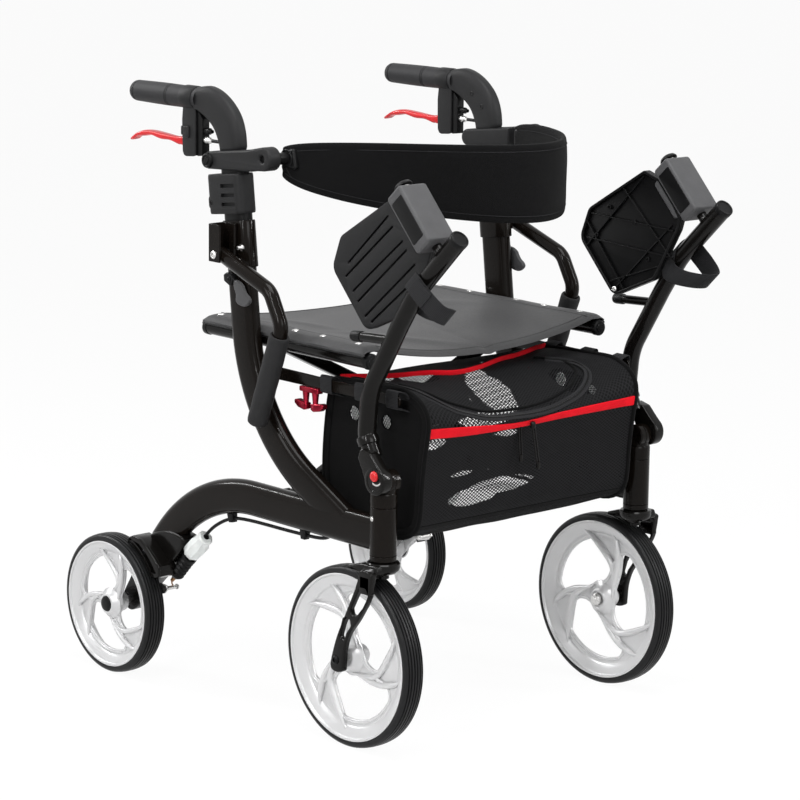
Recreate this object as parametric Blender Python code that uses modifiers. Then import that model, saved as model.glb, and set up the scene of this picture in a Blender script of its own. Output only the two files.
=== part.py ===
"""A four-wheeled walker that folds sideways, with a seat, a bag, a back strap, armrests and footrests.

Units are metres. +Z is up, +X is the direction of travel and +Y is the user's left.
Each side is built in its own plane; the right side is at -Y and the left side at +Y.
"""
import math

import bmesh
import bpy
from mathutils import Matrix, Vector

MODEL_NAME = "walker"

# The whole model is shifted along X, so that the middle of its box is at X = 0.
SHIFT_X = -0.0429

# Frame: an upright and a base beam of flat-sided tube, in a plane at this distance from the middle.
FRAME_Y = 0.2435
BEAM_TUBE = (0.050, 0.025)
UPRIGHT_TUBE = (0.0496, 0.0246)
FRAME_WALL = 0.002
BEAM_Z = 0.3075
UPRIGHT_TOP = (-0.0145, 0.700)
UPRIGHT_CORNER = (0.019, 0.413)
UPRIGHT_BEND = 0.255
BEAM_BEND = 0.263
LEAN = math.atan2(UPRIGHT_CORNER[0] - UPRIGHT_TOP[0], UPRIGHT_TOP[1] - UPRIGHT_CORNER[1])
FIT_GAP = 0.0003

# Casters and wheels.
HEAD_X = 0.2965
HEAD_RADIUS = 0.0185
HEAD_Z = (0.272, 0.362)
STEM_RADIUS = 0.006
CASTER_TRAIL = 0.057
FRONT_RADIUS = 0.127
REAR_RADIUS = 0.104
REAR_AXLE = (-0.262, 0.104)
REAR_WHEEL_Y = 0.2785
WHEEL_HALF_WIDTH = 0.0165
FRONT_TURN = {-1: 38, 1: 2}
REAR_TURN = {-1: 0, 1: 90}
AXLE_RADIUS = 0.006
MOUNT_SLEEVE = (0.058, 0.031)

# Handles.
HANDLE_TUBE = (0.038, 0.019)
HANDLE_WALL = 0.002
HANDLE_Z = (0.565, 0.822)
GRIP_Z = 0.861
GRIP_RADIUS = 0.0155
GRIP_X = (-0.263, -0.1045)
GRIP_GROOVES = (-0.174, -0.251)

# Back strap and its brackets.
STRAP_PIVOT = (0.066, 0.7915)
STRAP_HALF_SPAN = 0.2225
STRAP_FRONT_X = 0.335
STRAP_CORNER_Y = 0.106
STRAP_THICKNESS = 0.010

# Seat and folding cross brace.
RAIL_Y = 0.2175
RAIL_Z = 0.532
RAIL_RADIUS = 0.0105
RAIL_X = (-0.118, 0.242)
BRACE_LOW_Z = 0.315
BRACE_BAR = (0.018, 0.017)
BRACE_DROP = 0.004
BRACE_PIN = 0.004
BRAKE_PIVOT = (-0.214, 0.176)
BRAKE_SHOE = (0.0705, 0.0799)
SEAT_X = (-0.113, 0.237)

# Armrests.
ARMREST_Y = 0.279
ARMREST_PIVOT = (-0.008, 0.655)
ARMREST_RADIUS = 0.0103
PAD_RADIUS = 0.0145
LEVER_PIVOT = (-0.006, 0.6210)

# Footrests.
FOOT_HINGE = (0.302, 0.382)
FOOT_BUTTON = (0.3075, 0.3935)
FOOT_ARM_Y = 0.250
FOOT_ARM_RADIUS = 0.0125
FOOT_ROD_START = (0.415, 0.697)
FOOT_ROD_ANGLE = math.radians(132.8)

# Brake cable.
CABLE_RADIUS = 0.0025

ROUND_STEPS = 16
SMALL_STEPS = 10
WHEEL_STEPS = 30
AXLE_STEPS = 12
WELD = 0.00001
SIDES = ((-1, "right_"), (1, "left_"))


def clear_scene():
    """Removes every object and leaves two collections: the parts and the shapes that form them."""
    for old in list(bpy.data.objects):
        bpy.data.objects.remove(old)
    for name in (MODEL_NAME, MODEL_NAME + "_tools"):
        group = bpy.data.collections.get(name) or bpy.data.collections.new(name)
        if name not in bpy.context.scene.collection.children:
            bpy.context.scene.collection.children.link(group)


def link(obj):
    """Puts a new object in the collection of the parts."""
    bpy.data.collections[MODEL_NAME].objects.link(obj)
    return obj


def material(name, colour, roughness, metallic=0.0):
    """A Principled material, made once for each name."""
    found = bpy.data.materials.get(name)
    if found:
        return found
    made = bpy.data.materials.new(name)
    made.use_nodes = True
    shader = made.node_tree.nodes["Principled BSDF"]
    shader.inputs["Base Color"].default_value = (*colour, 1.0)
    shader.inputs["Roughness"].default_value = roughness
    shader.inputs["Metallic"].default_value = metallic
    made.diffuse_color = (*colour, 1.0)
    return made


def frame_black():
    return material("frame_black", (0.020, 0.016, 0.014), 0.22, 0.3)


def charcoal_plastic():
    return material("charcoal_plastic", (0.045, 0.045, 0.048), 0.48)


def black_rubber():
    return material("black_rubber", (0.018, 0.018, 0.018), 0.75)


def tyre_rubber():
    return material("tyre_rubber", (0.022, 0.022, 0.023), 0.70)


def silver_rim():
    return material("silver_rim", (0.62, 0.63, 0.64), 0.38, 0.55)


def red_plastic():
    return material("red_plastic", (0.72, 0.030, 0.020), 0.30)


def black_cloth():
    return material("black_cloth", (0.014, 0.014, 0.015), 0.90)


def seat_leatherette():
    return material("seat_leatherette", (0.060, 0.062, 0.068), 0.55)


def steel_hardware():
    return material("steel_hardware", (0.42, 0.42, 0.43), 0.34, 1.0)


def clear_plastic():
    return material("clear_plastic", (0.55, 0.56, 0.55), 0.35)


def empty(name, place, parent=None):
    """A parent on a joint's axis."""
    obj = link(bpy.data.objects.new(name, None))
    obj.empty_display_size = 0.03
    obj.location = place
    bpy.context.view_layer.update()
    if parent:
        attach(obj, parent)
    return obj


def attach(obj, parent):
    """Parents an object and leaves it where it is."""
    obj.parent = parent
    obj.matrix_parent_inverse = parent.matrix_world.inverted()
    bpy.context.view_layer.update()


def finish(obj, name, look, parent):
    """Gives a finished piece its name, material and parent, and smooths its round faces."""
    obj.name = name
    obj.data.name = name
    obj.data.materials.clear()
    obj.data.materials.append(look)
    obj.data.shade_smooth()
    obj.data.set_sharp_from_angle(angle=math.radians(32))
    attach(obj, parent)
    return obj


def as_mesh(obj):
    """Turns a curve or a modified object into a plain closed mesh in world coordinates."""
    bpy.context.view_layer.update()
    graph = bpy.context.evaluated_depsgraph_get()
    mesh = bpy.data.meshes.new_from_object(obj.evaluated_get(graph))
    mesh.transform(obj.matrix_world)
    shape = bmesh.new()
    shape.from_mesh(mesh)
    bmesh.ops.remove_doubles(shape, verts=shape.verts, dist=WELD)
    bmesh.ops.recalc_face_normals(shape, faces=shape.faces)
    shape.to_mesh(mesh)
    shape.free()
    made = link(bpy.data.objects.new(obj.name, mesh))
    bpy.data.objects.remove(obj)
    return made


def combine(body, tool, operation):
    """Adds a Boolean to a body and puts the other shape away with the tools."""
    change = body.modifiers.new(tool.name, "BOOLEAN")
    change.operation = operation
    change.solver = "EXACT"
    change.object = tool
    bpy.data.collections[MODEL_NAME].objects.unlink(tool)
    bpy.data.collections[MODEL_NAME + "_tools"].objects.link(tool)
    tool.hide_render = True
    tool.display_type = "WIRE"
    tool.parent = body
    return body


def join(body, *shapes):
    for shape in shapes:
        combine(body, shape, "UNION")
    return body


def cut(body, *shapes):
    for shape in shapes:
        combine(body, shape, "DIFFERENCE")
    return body


def mesh_object(name, shape):
    """An object from a bmesh, which is freed."""
    mesh = bpy.data.meshes.new(name)
    shape.to_mesh(mesh)
    shape.free()
    return link(bpy.data.objects.new(name, mesh))


def cylinder(name, start, end, radius, steps=ROUND_STEPS, end_radius=None):
    """A round bar or cone between two points."""
    start = Vector(start)
    axis = Vector(end) - start
    turn = Vector((0, 0, 1)).rotation_difference(axis).to_matrix().to_4x4()
    shape = bmesh.new()
    bmesh.ops.create_cone(shape, cap_ends=True, segments=steps, radius1=radius,
                          radius2=radius if end_radius is None else end_radius, depth=axis.length,
                          matrix=Matrix.Translation(start + axis / 2) @ turn)
    return mesh_object(name, shape)


def ball(name, centre, radius, steps=8):
    shape = bmesh.new()
    bmesh.ops.create_uvsphere(shape, u_segments=steps, v_segments=steps // 2, radius=radius,
                              matrix=Matrix.Translation(Vector(centre)))
    return mesh_object(name, shape)


def box(name, low, high, lean=0.0):
    """A box between two corners, turned about Y through its middle by an angle of lean."""
    low = Vector(low)
    high = Vector(high)
    size = Matrix.Diagonal((*[abs(part) for part in high - low], 1.0))
    turn = Matrix.Rotation(-lean, 4, "Y")
    shape = bmesh.new()
    bmesh.ops.create_cube(shape, size=1.0, matrix=Matrix.Translation((low + high) / 2) @ turn @ size)
    return mesh_object(name, shape)


def soften(obj, width, segments=2):
    """Rounds the sharp edges of a piece and bakes the result."""
    bevel = obj.modifiers.new("rounded_edges", "BEVEL")
    bevel.width = width
    bevel.segments = segments
    bevel.limit_method = "ANGLE"
    bevel.angle_limit = math.radians(38)
    return as_mesh(obj)


def fillet(points, radii, closed=False, steps=3):
    """Rounds the corners of a chain of (x, z) points with arcs of the given radius or radii."""
    count = len(points)
    if not isinstance(radii, (tuple, list)):
        radii = [radii] * count
    chain = [Vector(point) for point in points]
    result = []
    for index, corner in enumerate(chain):
        radius = radii[index]
        if radius == 0 or (not closed and index in (0, count - 1)):
            result.append(corner)
            continue
        back = (chain[index - 1] - corner).normalized()
        ahead = (chain[(index + 1) % count] - corner).normalized()
        half = back.angle(ahead) / 2
        centre = corner + (back + ahead).normalized() * radius / math.sin(half)
        reach = radius / math.tan(half)
        first = corner + back * reach - centre
        sweep = first.angle_signed(corner + ahead * reach - centre)
        for step in range(steps + 1):
            angle = -sweep * step / steps
            result.append(centre + Matrix.Rotation(angle, 2) @ first)
    return [(point.x, point.y) for point in result]


def arc(centre, radius, start, end, steps):
    """Points on an arc, its angles in degrees."""
    angles = [math.radians(start + (end - start) * step / steps) for step in range(steps + 1)]
    return [(centre[0] + radius * math.cos(angle), centre[1] + radius * math.sin(angle)) for angle in angles]


def curve_object(name, loops, closed):
    """A flat curve drawn in (x, z), standing in the XZ plane."""
    data = bpy.data.curves.new(name, "CURVE")
    data.dimensions = "2D"
    for loop in loops:
        spline = data.splines.new("POLY")
        spline.points.add(len(loop) - 1)
        for point, place in zip(spline.points, loop):
            point.co = (place[0], place[1], 0.0, 1.0)
        spline.use_cyclic_u = closed
    obj = link(bpy.data.objects.new(name, data))
    obj.rotation_euler = (math.radians(90), 0, 0)
    return obj


def plate(name, outline, near, far, holes=()):
    """A flat outline in (x, z), with holes, thick between two values of y."""
    obj = curve_object(name, [outline, *holes], True)
    obj.data.fill_mode = "BOTH"
    obj.data.extrude = abs(far - near) / 2
    obj.location.y = (near + far) / 2
    return as_mesh(obj)


def stadium(width, height, steps=4):
    """A closed section with two flat sides and two round ends, as a flat curve."""
    radius = height / 2
    reach = width / 2 - radius
    points = arc((reach, 0), radius, -90, 90, steps) + arc((-reach, 0), radius, 90, 270, steps)
    data = bpy.data.curves.new("section", "CURVE")
    data.dimensions = "2D"
    spline = data.splines.new("POLY")
    spline.points.add(len(points) - 1)
    for point, place in zip(spline.points, points):
        point.co = (place[0], place[1], 0.0, 1.0)
    spline.use_cyclic_u = True
    return link(bpy.data.objects.new("section", data))


def flat_tube(name, path, size, centre_y, steps=4):
    """A bar of stadium section along a path of (x, z) points at one distance from the middle."""
    section = stadium(*size, steps)
    obj = curve_object(name, [path], False)
    obj.data.bevel_mode = "OBJECT"
    obj.data.bevel_object = section
    obj.data.use_fill_caps = True
    obj.location.y = centre_y
    made = as_mesh(obj)
    bpy.data.objects.remove(section)
    return made


def round_tube(name, path, radius, detail=3):
    """A round bar along a chain of (x, y, z) points."""
    data = bpy.data.curves.new(name, "CURVE")
    data.dimensions = "3D"
    data.bevel_depth = radius
    data.bevel_resolution = detail
    data.use_fill_caps = True
    spline = data.splines.new("POLY")
    spline.points.add(len(path) - 1)
    for point, place in zip(spline.points, path):
        point.co = (*place, 1.0)
    return as_mesh(link(bpy.data.objects.new(name, data)))


def at_y(points, distance):
    """Lifts (x, z) points to (x, y, z)."""
    return [(point[0], distance, point[1]) for point in points]


def smooth_route(points, steps=2):
    """A Catmull-Rom curve through the points of a route."""
    chain = [Vector(point) for point in points]
    chain = [2 * chain[0] - chain[1], *chain, 2 * chain[-1] - chain[-2]]
    result = []
    for index in range(1, len(chain) - 2):
        before, start, end, after = chain[index - 1:index + 3]
        for step in range(steps):
            part = step / steps
            result.append(0.5 * (2 * start + (end - before) * part
                                 + (2 * before - 5 * start + 4 * end - after) * part ** 2
                                 + (3 * start - before - 3 * end + after) * part ** 3))
    result.append(chain[-2])
    return result


def turned(name, profile, centre, axis=(0, 1, 0), steps=ROUND_STEPS, ring=False):
    """A turned shape: (radius, height) points from the top of its outer side down, about an axis."""
    mesh = bpy.data.meshes.new(name)
    count = len(profile)
    edges = [(index, index + 1) for index in range(count - 1)]
    if ring:
        edges.append((count - 1, 0))
    mesh.from_pydata([(radius, 0.0, height) for radius, height in profile], edges, [])
    obj = link(bpy.data.objects.new(name, mesh))
    screw = obj.modifiers.new("turn", "SCREW")
    screw.steps = steps
    screw.render_steps = steps
    screw.use_merge_vertices = True
    screw.merge_threshold = WELD
    obj.rotation_mode = "QUATERNION"
    obj.rotation_quaternion = Vector((0, 0, 1)).rotation_difference(Vector(axis))
    obj.location = centre
    return as_mesh(obj)


def loft(name, rings):
    """A closed skin over rings of equally many points, with flat ends."""
    shape = bmesh.new()
    rows = [[shape.verts.new(point) for point in ring] for ring in rings]
    size = len(rows[0])
    for first, second in zip(rows, rows[1:]):
        for index in range(size):
            after = (index + 1) % size
            shape.faces.new((first[index], first[after], second[after], second[index]))
    shape.faces.new(rows[0])
    shape.faces.new(rows[-1])
    bmesh.ops.recalc_face_normals(shape, faces=shape.faces)
    return mesh_object(name, shape)


def lean_point(along, across, start=UPRIGHT_TOP):
    """A point measured up along the leaning upright and forward across it, from its top."""
    up = (-math.sin(LEAN), math.cos(LEAN))
    return (start[0] + along * up[0] + across * up[1], start[1] + along * up[1] - across * up[0])


def beam_path(front_x):
    return fillet([(front_x, BEAM_Z), (-0.098, BEAM_Z), (-0.188, 0.203)], BEAM_BEND, steps=4)


def upright_path(top, foot):
    return fillet([top, UPRIGHT_CORNER, foot], UPRIGHT_BEND, steps=5)


def past(path, distance):
    """A point beyond the end of a path, straight on."""
    end = Vector(path[-1])
    ahead = end + (end - Vector(path[-2])).normalized() * distance
    return (ahead.x, ahead.y)


def around(size, gap):
    """A section grown on all sides by a gap, or shrunk by a wall where the gap is negative."""
    return (size[0] + 2 * gap, size[1] + 2 * gap)


def frame_side(s, side, parent):
    """The welded side frame: upright, base beam, head tube, footrest hinge and brace lug."""
    y = s * FRAME_Y
    bore_top = lean_point(0.010, 0.0)
    body = flat_tube("beam", beam_path(0.290), BEAM_TUBE, y)
    upright = flat_tube("upright", upright_path(lean_point(-0.0013, 0.0), (0.228, 0.3053)), UPRIGHT_TUBE, y)
    head = cylinder("head", (HEAD_X, y, HEAD_Z[0]), (HEAD_X, y, HEAD_Z[1]), HEAD_RADIUS)
    hinge_foot = box("hinge_foot", (HEAD_X - 0.013, s * 0.231, HEAD_Z[1] - 0.004),
                     (HEAD_X + 0.014, s * 0.2515, FOOT_HINGE[1]))
    barrel = cylinder("barrel", (FOOT_HINGE[0], s * 0.2305, FOOT_HINGE[1]),
                      (FOOT_HINGE[0], s * 0.2520, FOOT_HINGE[1]), 0.015)
    hinge_pin = cylinder("hinge_pin", (FOOT_HINGE[0], s * 0.2500, FOOT_HINGE[1]),
                         (FOOT_HINGE[0], s * 0.2660, FOOT_HINGE[1]), 0.005, 12)
    join(body, upright, head, hinge_foot, barrel, hinge_pin)
    first, last = brace_x(s)
    for index, x in enumerate((first - 0.0058, last + 0.0008)):
        lug = box("lug_%d" % index, (x, s * 0.2070, 0.304), (x + 0.005, s * 0.2320, 0.326))
        join(body, lug)
    join(body, cylinder("brace_pin", (first - 0.0040, s * RAIL_Y, BRACE_LOW_Z),
                        (last + 0.0040, s * RAIL_Y, BRACE_LOW_Z), BRACE_PIN, SMALL_STEPS))
    inner_path = beam_path(0.272)
    beam_hollow = flat_tube("beam_hollow", inner_path[:-1] + [past(inner_path, 0.004)],
                            around(BEAM_TUBE, -FRAME_WALL), y)
    upright_hollow = flat_tube("upright_hollow", upright_path(bore_top, (0.226, 0.3064)),
                               around(UPRIGHT_TUBE, -FRAME_WALL), y)
    bore = cylinder("head_bore", (HEAD_X, y, HEAD_Z[0] - 0.01), (HEAD_X, y, HEAD_Z[1] - 0.012),
                    STEM_RADIUS + FIT_GAP)
    exit_slot = box("cable_exit", (0.164, y - 0.004, 0.277), (0.198, y + 0.004, 0.290))
    cut(body, beam_hollow, upright_hollow, bore, exit_slot)
    return finish(body, side + "frame", frame_black(), parent)


def armrest_bracket(s, side, parent):
    """A sleeve round the top of the upright with a channel that holds the armrest tube."""
    low = lean_point(-0.066, 0.0)
    high = lean_point(-0.0015, 0.0)
    y = s * FRAME_Y
    body = flat_tube("sleeve", [low, high], (0.056, 0.0288), y)
    channel = box("channel", (-0.0218, s * 0.2560, 0.6450), (0.0040, s * 0.2930, 0.6975))
    tongue = box("tongue", (-0.0140, s * 0.2562, 0.6130), (0.0020, s * 0.2579, 0.6480))
    join(body, channel, tongue)
    past_low = lean_point(-0.08, 0.0)
    past_high = lean_point(0.02, 0.0)
    hole = flat_tube("sleeve_hole", [past_low, past_high], around(UPRIGHT_TUBE, FIT_GAP), y)
    slot = box("channel_slot", (-0.0190, s * 0.2684, 0.6400), (0.0100, s * 0.2898, 0.7080))
    cut(body, hole, slot)
    join(body, cylinder("armrest_pin", (ARMREST_PIVOT[0], s * 0.2640, ARMREST_PIVOT[1]),
                        (ARMREST_PIVOT[0], s * 0.2950, ARMREST_PIVOT[1]), 0.003, SMALL_STEPS))
    join(body, cylinder("lever_pin", (LEVER_PIVOT[0], s * 0.2566, LEVER_PIVOT[1]),
                        (LEVER_PIVOT[0], s * 0.2674, LEVER_PIVOT[1]), 0.003, SMALL_STEPS))
    return finish(body, side + "armrest_bracket", frame_black(), parent)


def clamp_collar(s, side, parent):
    """The height clamp, which slides over the handle tube and sits on the upright."""
    outline = [lean_point(0.0003, -0.040), lean_point(0.0003, 0.031), lean_point(0.0665, 0.027),
               lean_point(0.0665, -0.040)]
    body = plate("collar", outline, s * 0.2293, s * 0.2625)
    body = soften(body, 0.006, 2)
    cut(body, handle_tube_shape(s, "collar_hole", FIT_GAP, (0.60, 0.80)))
    return finish(body, side + "clamp_collar", charcoal_plastic(), parent)


def handle_tube_shape(s, name, grow, heights):
    ends = [lean_point((height - UPRIGHT_TOP[1]) / math.cos(LEAN), 0.0) for height in heights]
    return flat_tube(name, ends, around(HANDLE_TUBE, grow), s * FRAME_Y, 4)


def cable_entry(s, name):
    """The hole through the handle's rear wall for the brake cable."""
    return cylinder(name, (-0.080, s * FRAME_Y, 0.8035), (-0.030, s * FRAME_Y, 0.8035), 0.0046, SMALL_STEPS)


def handle_tube(s, side, parent):
    body = handle_tube_shape(s, "tube", 0.0, HANDLE_Z)
    hollow = handle_tube_shape(s, "hollow", -HANDLE_WALL, (HANDLE_Z[0] - 0.01, HANDLE_Z[1] + 0.01))
    cut(body, hollow, cable_entry(s, "tube_entry"))
    return finish(body, side + "handle_tube", frame_black(), parent)


def handle_body(s, side, parent):
    """The swan-necked moulding between the handle tube and the grip, with the grip's core."""
    top = [(-0.104, 0.8765), (-0.090, 0.8790), (-0.078, 0.8800), (-0.062, 0.8765), (-0.047, 0.8705),
           (-0.033, 0.8615), (-0.021, 0.8505), (-0.0125, 0.8380), (-0.0070, 0.8230), (-0.0048, 0.7965)]
    under = [(-0.0468, 0.7925), (-0.0500, 0.8100), (-0.0600, 0.8240), (-0.0750, 0.8345), (-0.0920, 0.8420),
             (-0.104, 0.8455)]
    y = s * FRAME_Y
    body = plate("swan_neck", top + under, y - 0.0122, y + 0.0122)
    body = soften(body, 0.007, 2)
    core_end = GRIP_X[0] + 0.012
    join(body, cylinder("core", (-0.0985, y, GRIP_Z), (core_end, y, GRIP_Z), 0.0105, AXLE_STEPS))
    cut(body, handle_tube_shape(s, "socket", FIT_GAP, (0.780, HANDLE_Z[1] + FIT_GAP)),
        cable_entry(s, "body_entry"))
    return finish(body, side + "handle_body", charcoal_plastic(), parent)


def grip(s, side, parent):
    """The hand grip: a sleeve with a domed end and two grooves."""
    length = GRIP_X[1] - GRIP_X[0]
    full = GRIP_RADIUS
    groove = full - 0.0012
    outer = [(full, length)]
    for place in GRIP_GROOVES:
        height = place - GRIP_X[0]
        outer += [(full, height + 0.0012), (groove, height), (full, height - 0.0012)]
    dome = [(full - 0.0015, 0.0045), (full - 0.0060, 0.0010), (0.0, 0.0)]
    inner = [(0.0, 0.0118), (0.0108, 0.0118), (0.0108, length)]
    profile = inner + outer + dome
    body = turned("grip", profile, (GRIP_X[0], s * FRAME_Y, GRIP_Z), (1, 0, 0), ROUND_STEPS)
    return finish(body, side + "grip", black_rubber(), parent)


def brake_housing(s, side, parent):
    """The lever housing under the grip, with its button and two cable barrels."""
    y = s * FRAME_Y
    outline = [(-0.130, 0.779), (-0.103, 0.781), (-0.103, 0.8450), (-0.130, 0.8450)]
    body = plate("housing", outline, y - 0.009, y + 0.009)
    body = soften(body, 0.003, 2)
    button = cylinder("button", (-0.121, s * 0.2500, 0.8135), (-0.121, s * 0.2558, 0.8135), 0.0085,
                      AXLE_STEPS)
    join(body, button)
    for height in (0.8035, 0.8165):
        join(body, cylinder("barrel_%d" % round(height * 10000), (-0.106, y, height),
                            (-0.082, y, height), 0.0042, SMALL_STEPS))
    slot = box("lever_slot", (-0.140, y - 0.0053, 0.787), (-0.110, y + 0.0053, 0.824))
    bore = cylinder("cable_bore", (-0.095, y, 0.8035), (-0.080, y, 0.8035), CABLE_RADIUS + FIT_GAP, 12)
    cut(body, slot, bore)
    join(body, cylinder("lever_pin", (-0.121, y - 0.0075, 0.803), (-0.121, y + 0.0075, 0.803), 0.0022,
                        SMALL_STEPS))
    return finish(body, side + "brake_housing", charcoal_plastic(), parent)


def brake_lever(s, side, parent):
    y = s * FRAME_Y
    outline = [(-0.1135, 0.803), (-0.116, 0.8085), (-0.121, 0.811), (-0.150, 0.8105), (-0.175, 0.8100),
               (-0.205, 0.8115), (-0.225, 0.8100), (-0.245, 0.8035), (-0.257, 0.7970), (-0.262, 0.7915),
               (-0.258, 0.7885), (-0.248, 0.7885), (-0.228, 0.7955), (-0.205, 0.7975), (-0.175, 0.7965),
               (-0.150, 0.7965), (-0.121, 0.7950), (-0.116, 0.7975)]
    body = plate("lever", outline, y - 0.0047, y + 0.0047)
    body = soften(body, 0.0016, 1)
    cut(body, cylinder("lever_hole", (-0.121, y - 0.01, 0.803), (-0.121, y + 0.01, 0.803), 0.0026,
                       SMALL_STEPS))
    return finish(body, side + "brake_lever", red_plastic(), parent)


def cable_route(s):
    """The whole route of a brake cable, from its barrel through the frame to the brake arm."""
    points = [(-0.0900, 0.8035), (-0.0600, 0.8035), (-0.0440, 0.8030), (-0.0330, 0.7970), (-0.0275, 0.7830),
              (-0.0235, 0.7500),
              lean_point(-0.020, 0.0), (0.0060, 0.5500), (0.0210, 0.4850), (0.0600, 0.4160), (0.1150, 0.3640),
              (0.1680, 0.3340), (0.1950, 0.3160), (0.2000, 0.3000), (0.1890, 0.2865), (0.1650, 0.2780),
              (0.1000, 0.2755), (0.0100, 0.2740), (-0.0320, 0.2680), (-0.0680, 0.2505), (-0.0960, 0.2270),
              (-0.1180, 0.1990), (-0.1400, 0.1750), (-0.1578, 0.1548)]
    return at_y([tuple(point) for point in points], s * FRAME_Y)


def brake_cable(s, side, parent):
    body = round_tube("cable", smooth_route(cable_route(s)), CABLE_RADIUS, 2)
    return finish(body, side + "brake_cable", black_rubber(), parent)


def cable_adjuster(s, side, parent):
    """The block under the beam where the cable is adjusted, with its ribbed boot."""
    y = s * FRAME_Y
    outline = [(-0.133, 0.200), (-0.108, 0.194), (-0.086, 0.215), (-0.084, 0.236), (-0.100, 0.252),
               (-0.128, 0.236)]
    body = plate("block", outline, y - 0.0135, y + 0.0135)
    body = soften(body, 0.002, 1)
    start = Vector((-0.1200, y, 0.1970))
    end = Vector((-0.1555, y, 0.1575))
    length = (end - start).length
    ribs = 5
    pitch = length / (2 * ribs)
    profile = [(0.0, length)]
    for index in range(2 * ribs + 1):
        radius = 0.0072 if index % 2 else 0.0056
        profile.append((radius, length - index * pitch))
    profile.append((0.0, 0.0))
    join(body, turned("boot", profile, start, (end - start).normalized(), SMALL_STEPS))
    beam = flat_tube("beam_clear", beam_path(0.0), around(BEAM_TUBE, FIT_GAP), y)
    sleeve = mount_sleeve(s, "sleeve_clear", FIT_GAP)
    route = smooth_route(cable_route(s))
    bore = [point for point in route if point[0] < -0.045 and point[2] < 0.3]
    cut(body, beam, sleeve, round_tube("cable_way", bore, CABLE_RADIUS + 0.0005, 2))
    return finish(body, side + "cable_adjuster", clear_plastic(), parent)


def mount_sleeve(s, name, gap):
    """The outer shape of the wheel mount's socket, which covers the low end of the beam."""
    path = beam_path(0.0)[-3:]
    start = past(path[1::-1], gap)
    middle_line = [start, *path[1:], past(path, 0.005 + gap)]
    return flat_tube(name, middle_line, around(MOUNT_SLEEVE, gap), s * FRAME_Y)


def wheel_mount(s, side, parent):
    """The moulded rear wheel carrier on the end of the beam, with the brake pivot and the axle."""
    path = beam_path(0.0)
    body = mount_sleeve(s, "socket_sleeve", 0.0)
    arm_outline = [(-0.158, 0.214), (-0.150, 0.200), (-0.176, 0.158), (-0.196, 0.144), (-0.246, 0.094),
                   (-0.262, 0.088), (-0.277, 0.099), (-0.276, 0.112), (-0.247, 0.158), (-0.241, 0.190),
                   (-0.226, 0.206), (-0.200, 0.216)]
    arm = plate("carrier", fillet(arm_outline, 0.004, True, 1), s * 0.2330, s * 0.2530)
    drum = cylinder("drum", (BRAKE_PIVOT[0], s * 0.2310, BRAKE_PIVOT[1]),
                    (BRAKE_PIVOT[0], s * 0.2575, BRAKE_PIVOT[1]), 0.030)
    brake_pin = cylinder("brake_pin", (BRAKE_PIVOT[0], s * 0.2570, BRAKE_PIVOT[1]),
                         (BRAKE_PIVOT[0], s * 0.2612, BRAKE_PIVOT[1]), 0.005, AXLE_STEPS)
    axle = cylinder("axle", (REAR_AXLE[0], s * 0.2400, REAR_AXLE[1]),
                    (REAR_AXLE[0], s * 0.2960, REAR_AXLE[1]), AXLE_RADIUS, AXLE_STEPS)
    cap = cylinder("axle_cap", (REAR_AXLE[0], s * 0.2955, REAR_AXLE[1]),
                   (REAR_AXLE[0], s * 0.2980, REAR_AXLE[1]), 0.012)
    join(body, arm, drum, brake_pin, axle, cap)
    hole = flat_tube("socket_hole", path + [past(path, 0.0006)], around(BEAM_TUBE, FIT_GAP), s * FRAME_Y)
    cut(body, hole)
    return finish(body, side + "wheel_mount", charcoal_plastic(), parent)


def brake_arm(s, side, parent):
    """The lever on the drum's face that presses a shoe against the inside of the rim."""
    outline = arc(BRAKE_PIVOT, 0.012, 60, 200, 5)
    outline += [(-0.206, 0.144), (-0.196, 0.131), (-0.188, 0.128), (-0.164, 0.134), (-0.157, 0.141),
                (-0.160, 0.147), (-0.184, 0.148), (-0.193, 0.157)]
    body = plate("arm", outline, s * 0.2584, s * 0.2612)
    shoe_outline = arc(REAR_AXLE, BRAKE_SHOE[1], 16, 38, 3) + arc(REAR_AXLE, BRAKE_SHOE[0], 38, 16, 3)
    join(body, plate("shoe", shoe_outline, s * 0.2606, s * 0.2720))
    join(body, cylinder("wire_pin", (-0.1625, s * 0.2400, 0.1415), (-0.1625, s * 0.2590, 0.1415), 0.0030,
                        SMALL_STEPS))
    cut(body, cylinder("arm_hole", (BRAKE_PIVOT[0], s * 0.2560, BRAKE_PIVOT[1]),
                       (BRAKE_PIVOT[0], s * 0.2650, BRAKE_PIVOT[1]), 0.0054, SMALL_STEPS))
    return finish(body, side + "brake_arm", steel_hardware(), parent)


# One wheel opening of three, as parts of the rim's radius and degrees; the outer edge is an arc.
OPENING_ARC = (0.778, 101.6, 172.0)
OPENING_POINTS = ((0.685, 180), (0.50, 179), (0.29, 160), (0.205, 105), (0.28, 74), (0.43, 71), (0.58, 80),
                  (0.69, 93))


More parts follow.
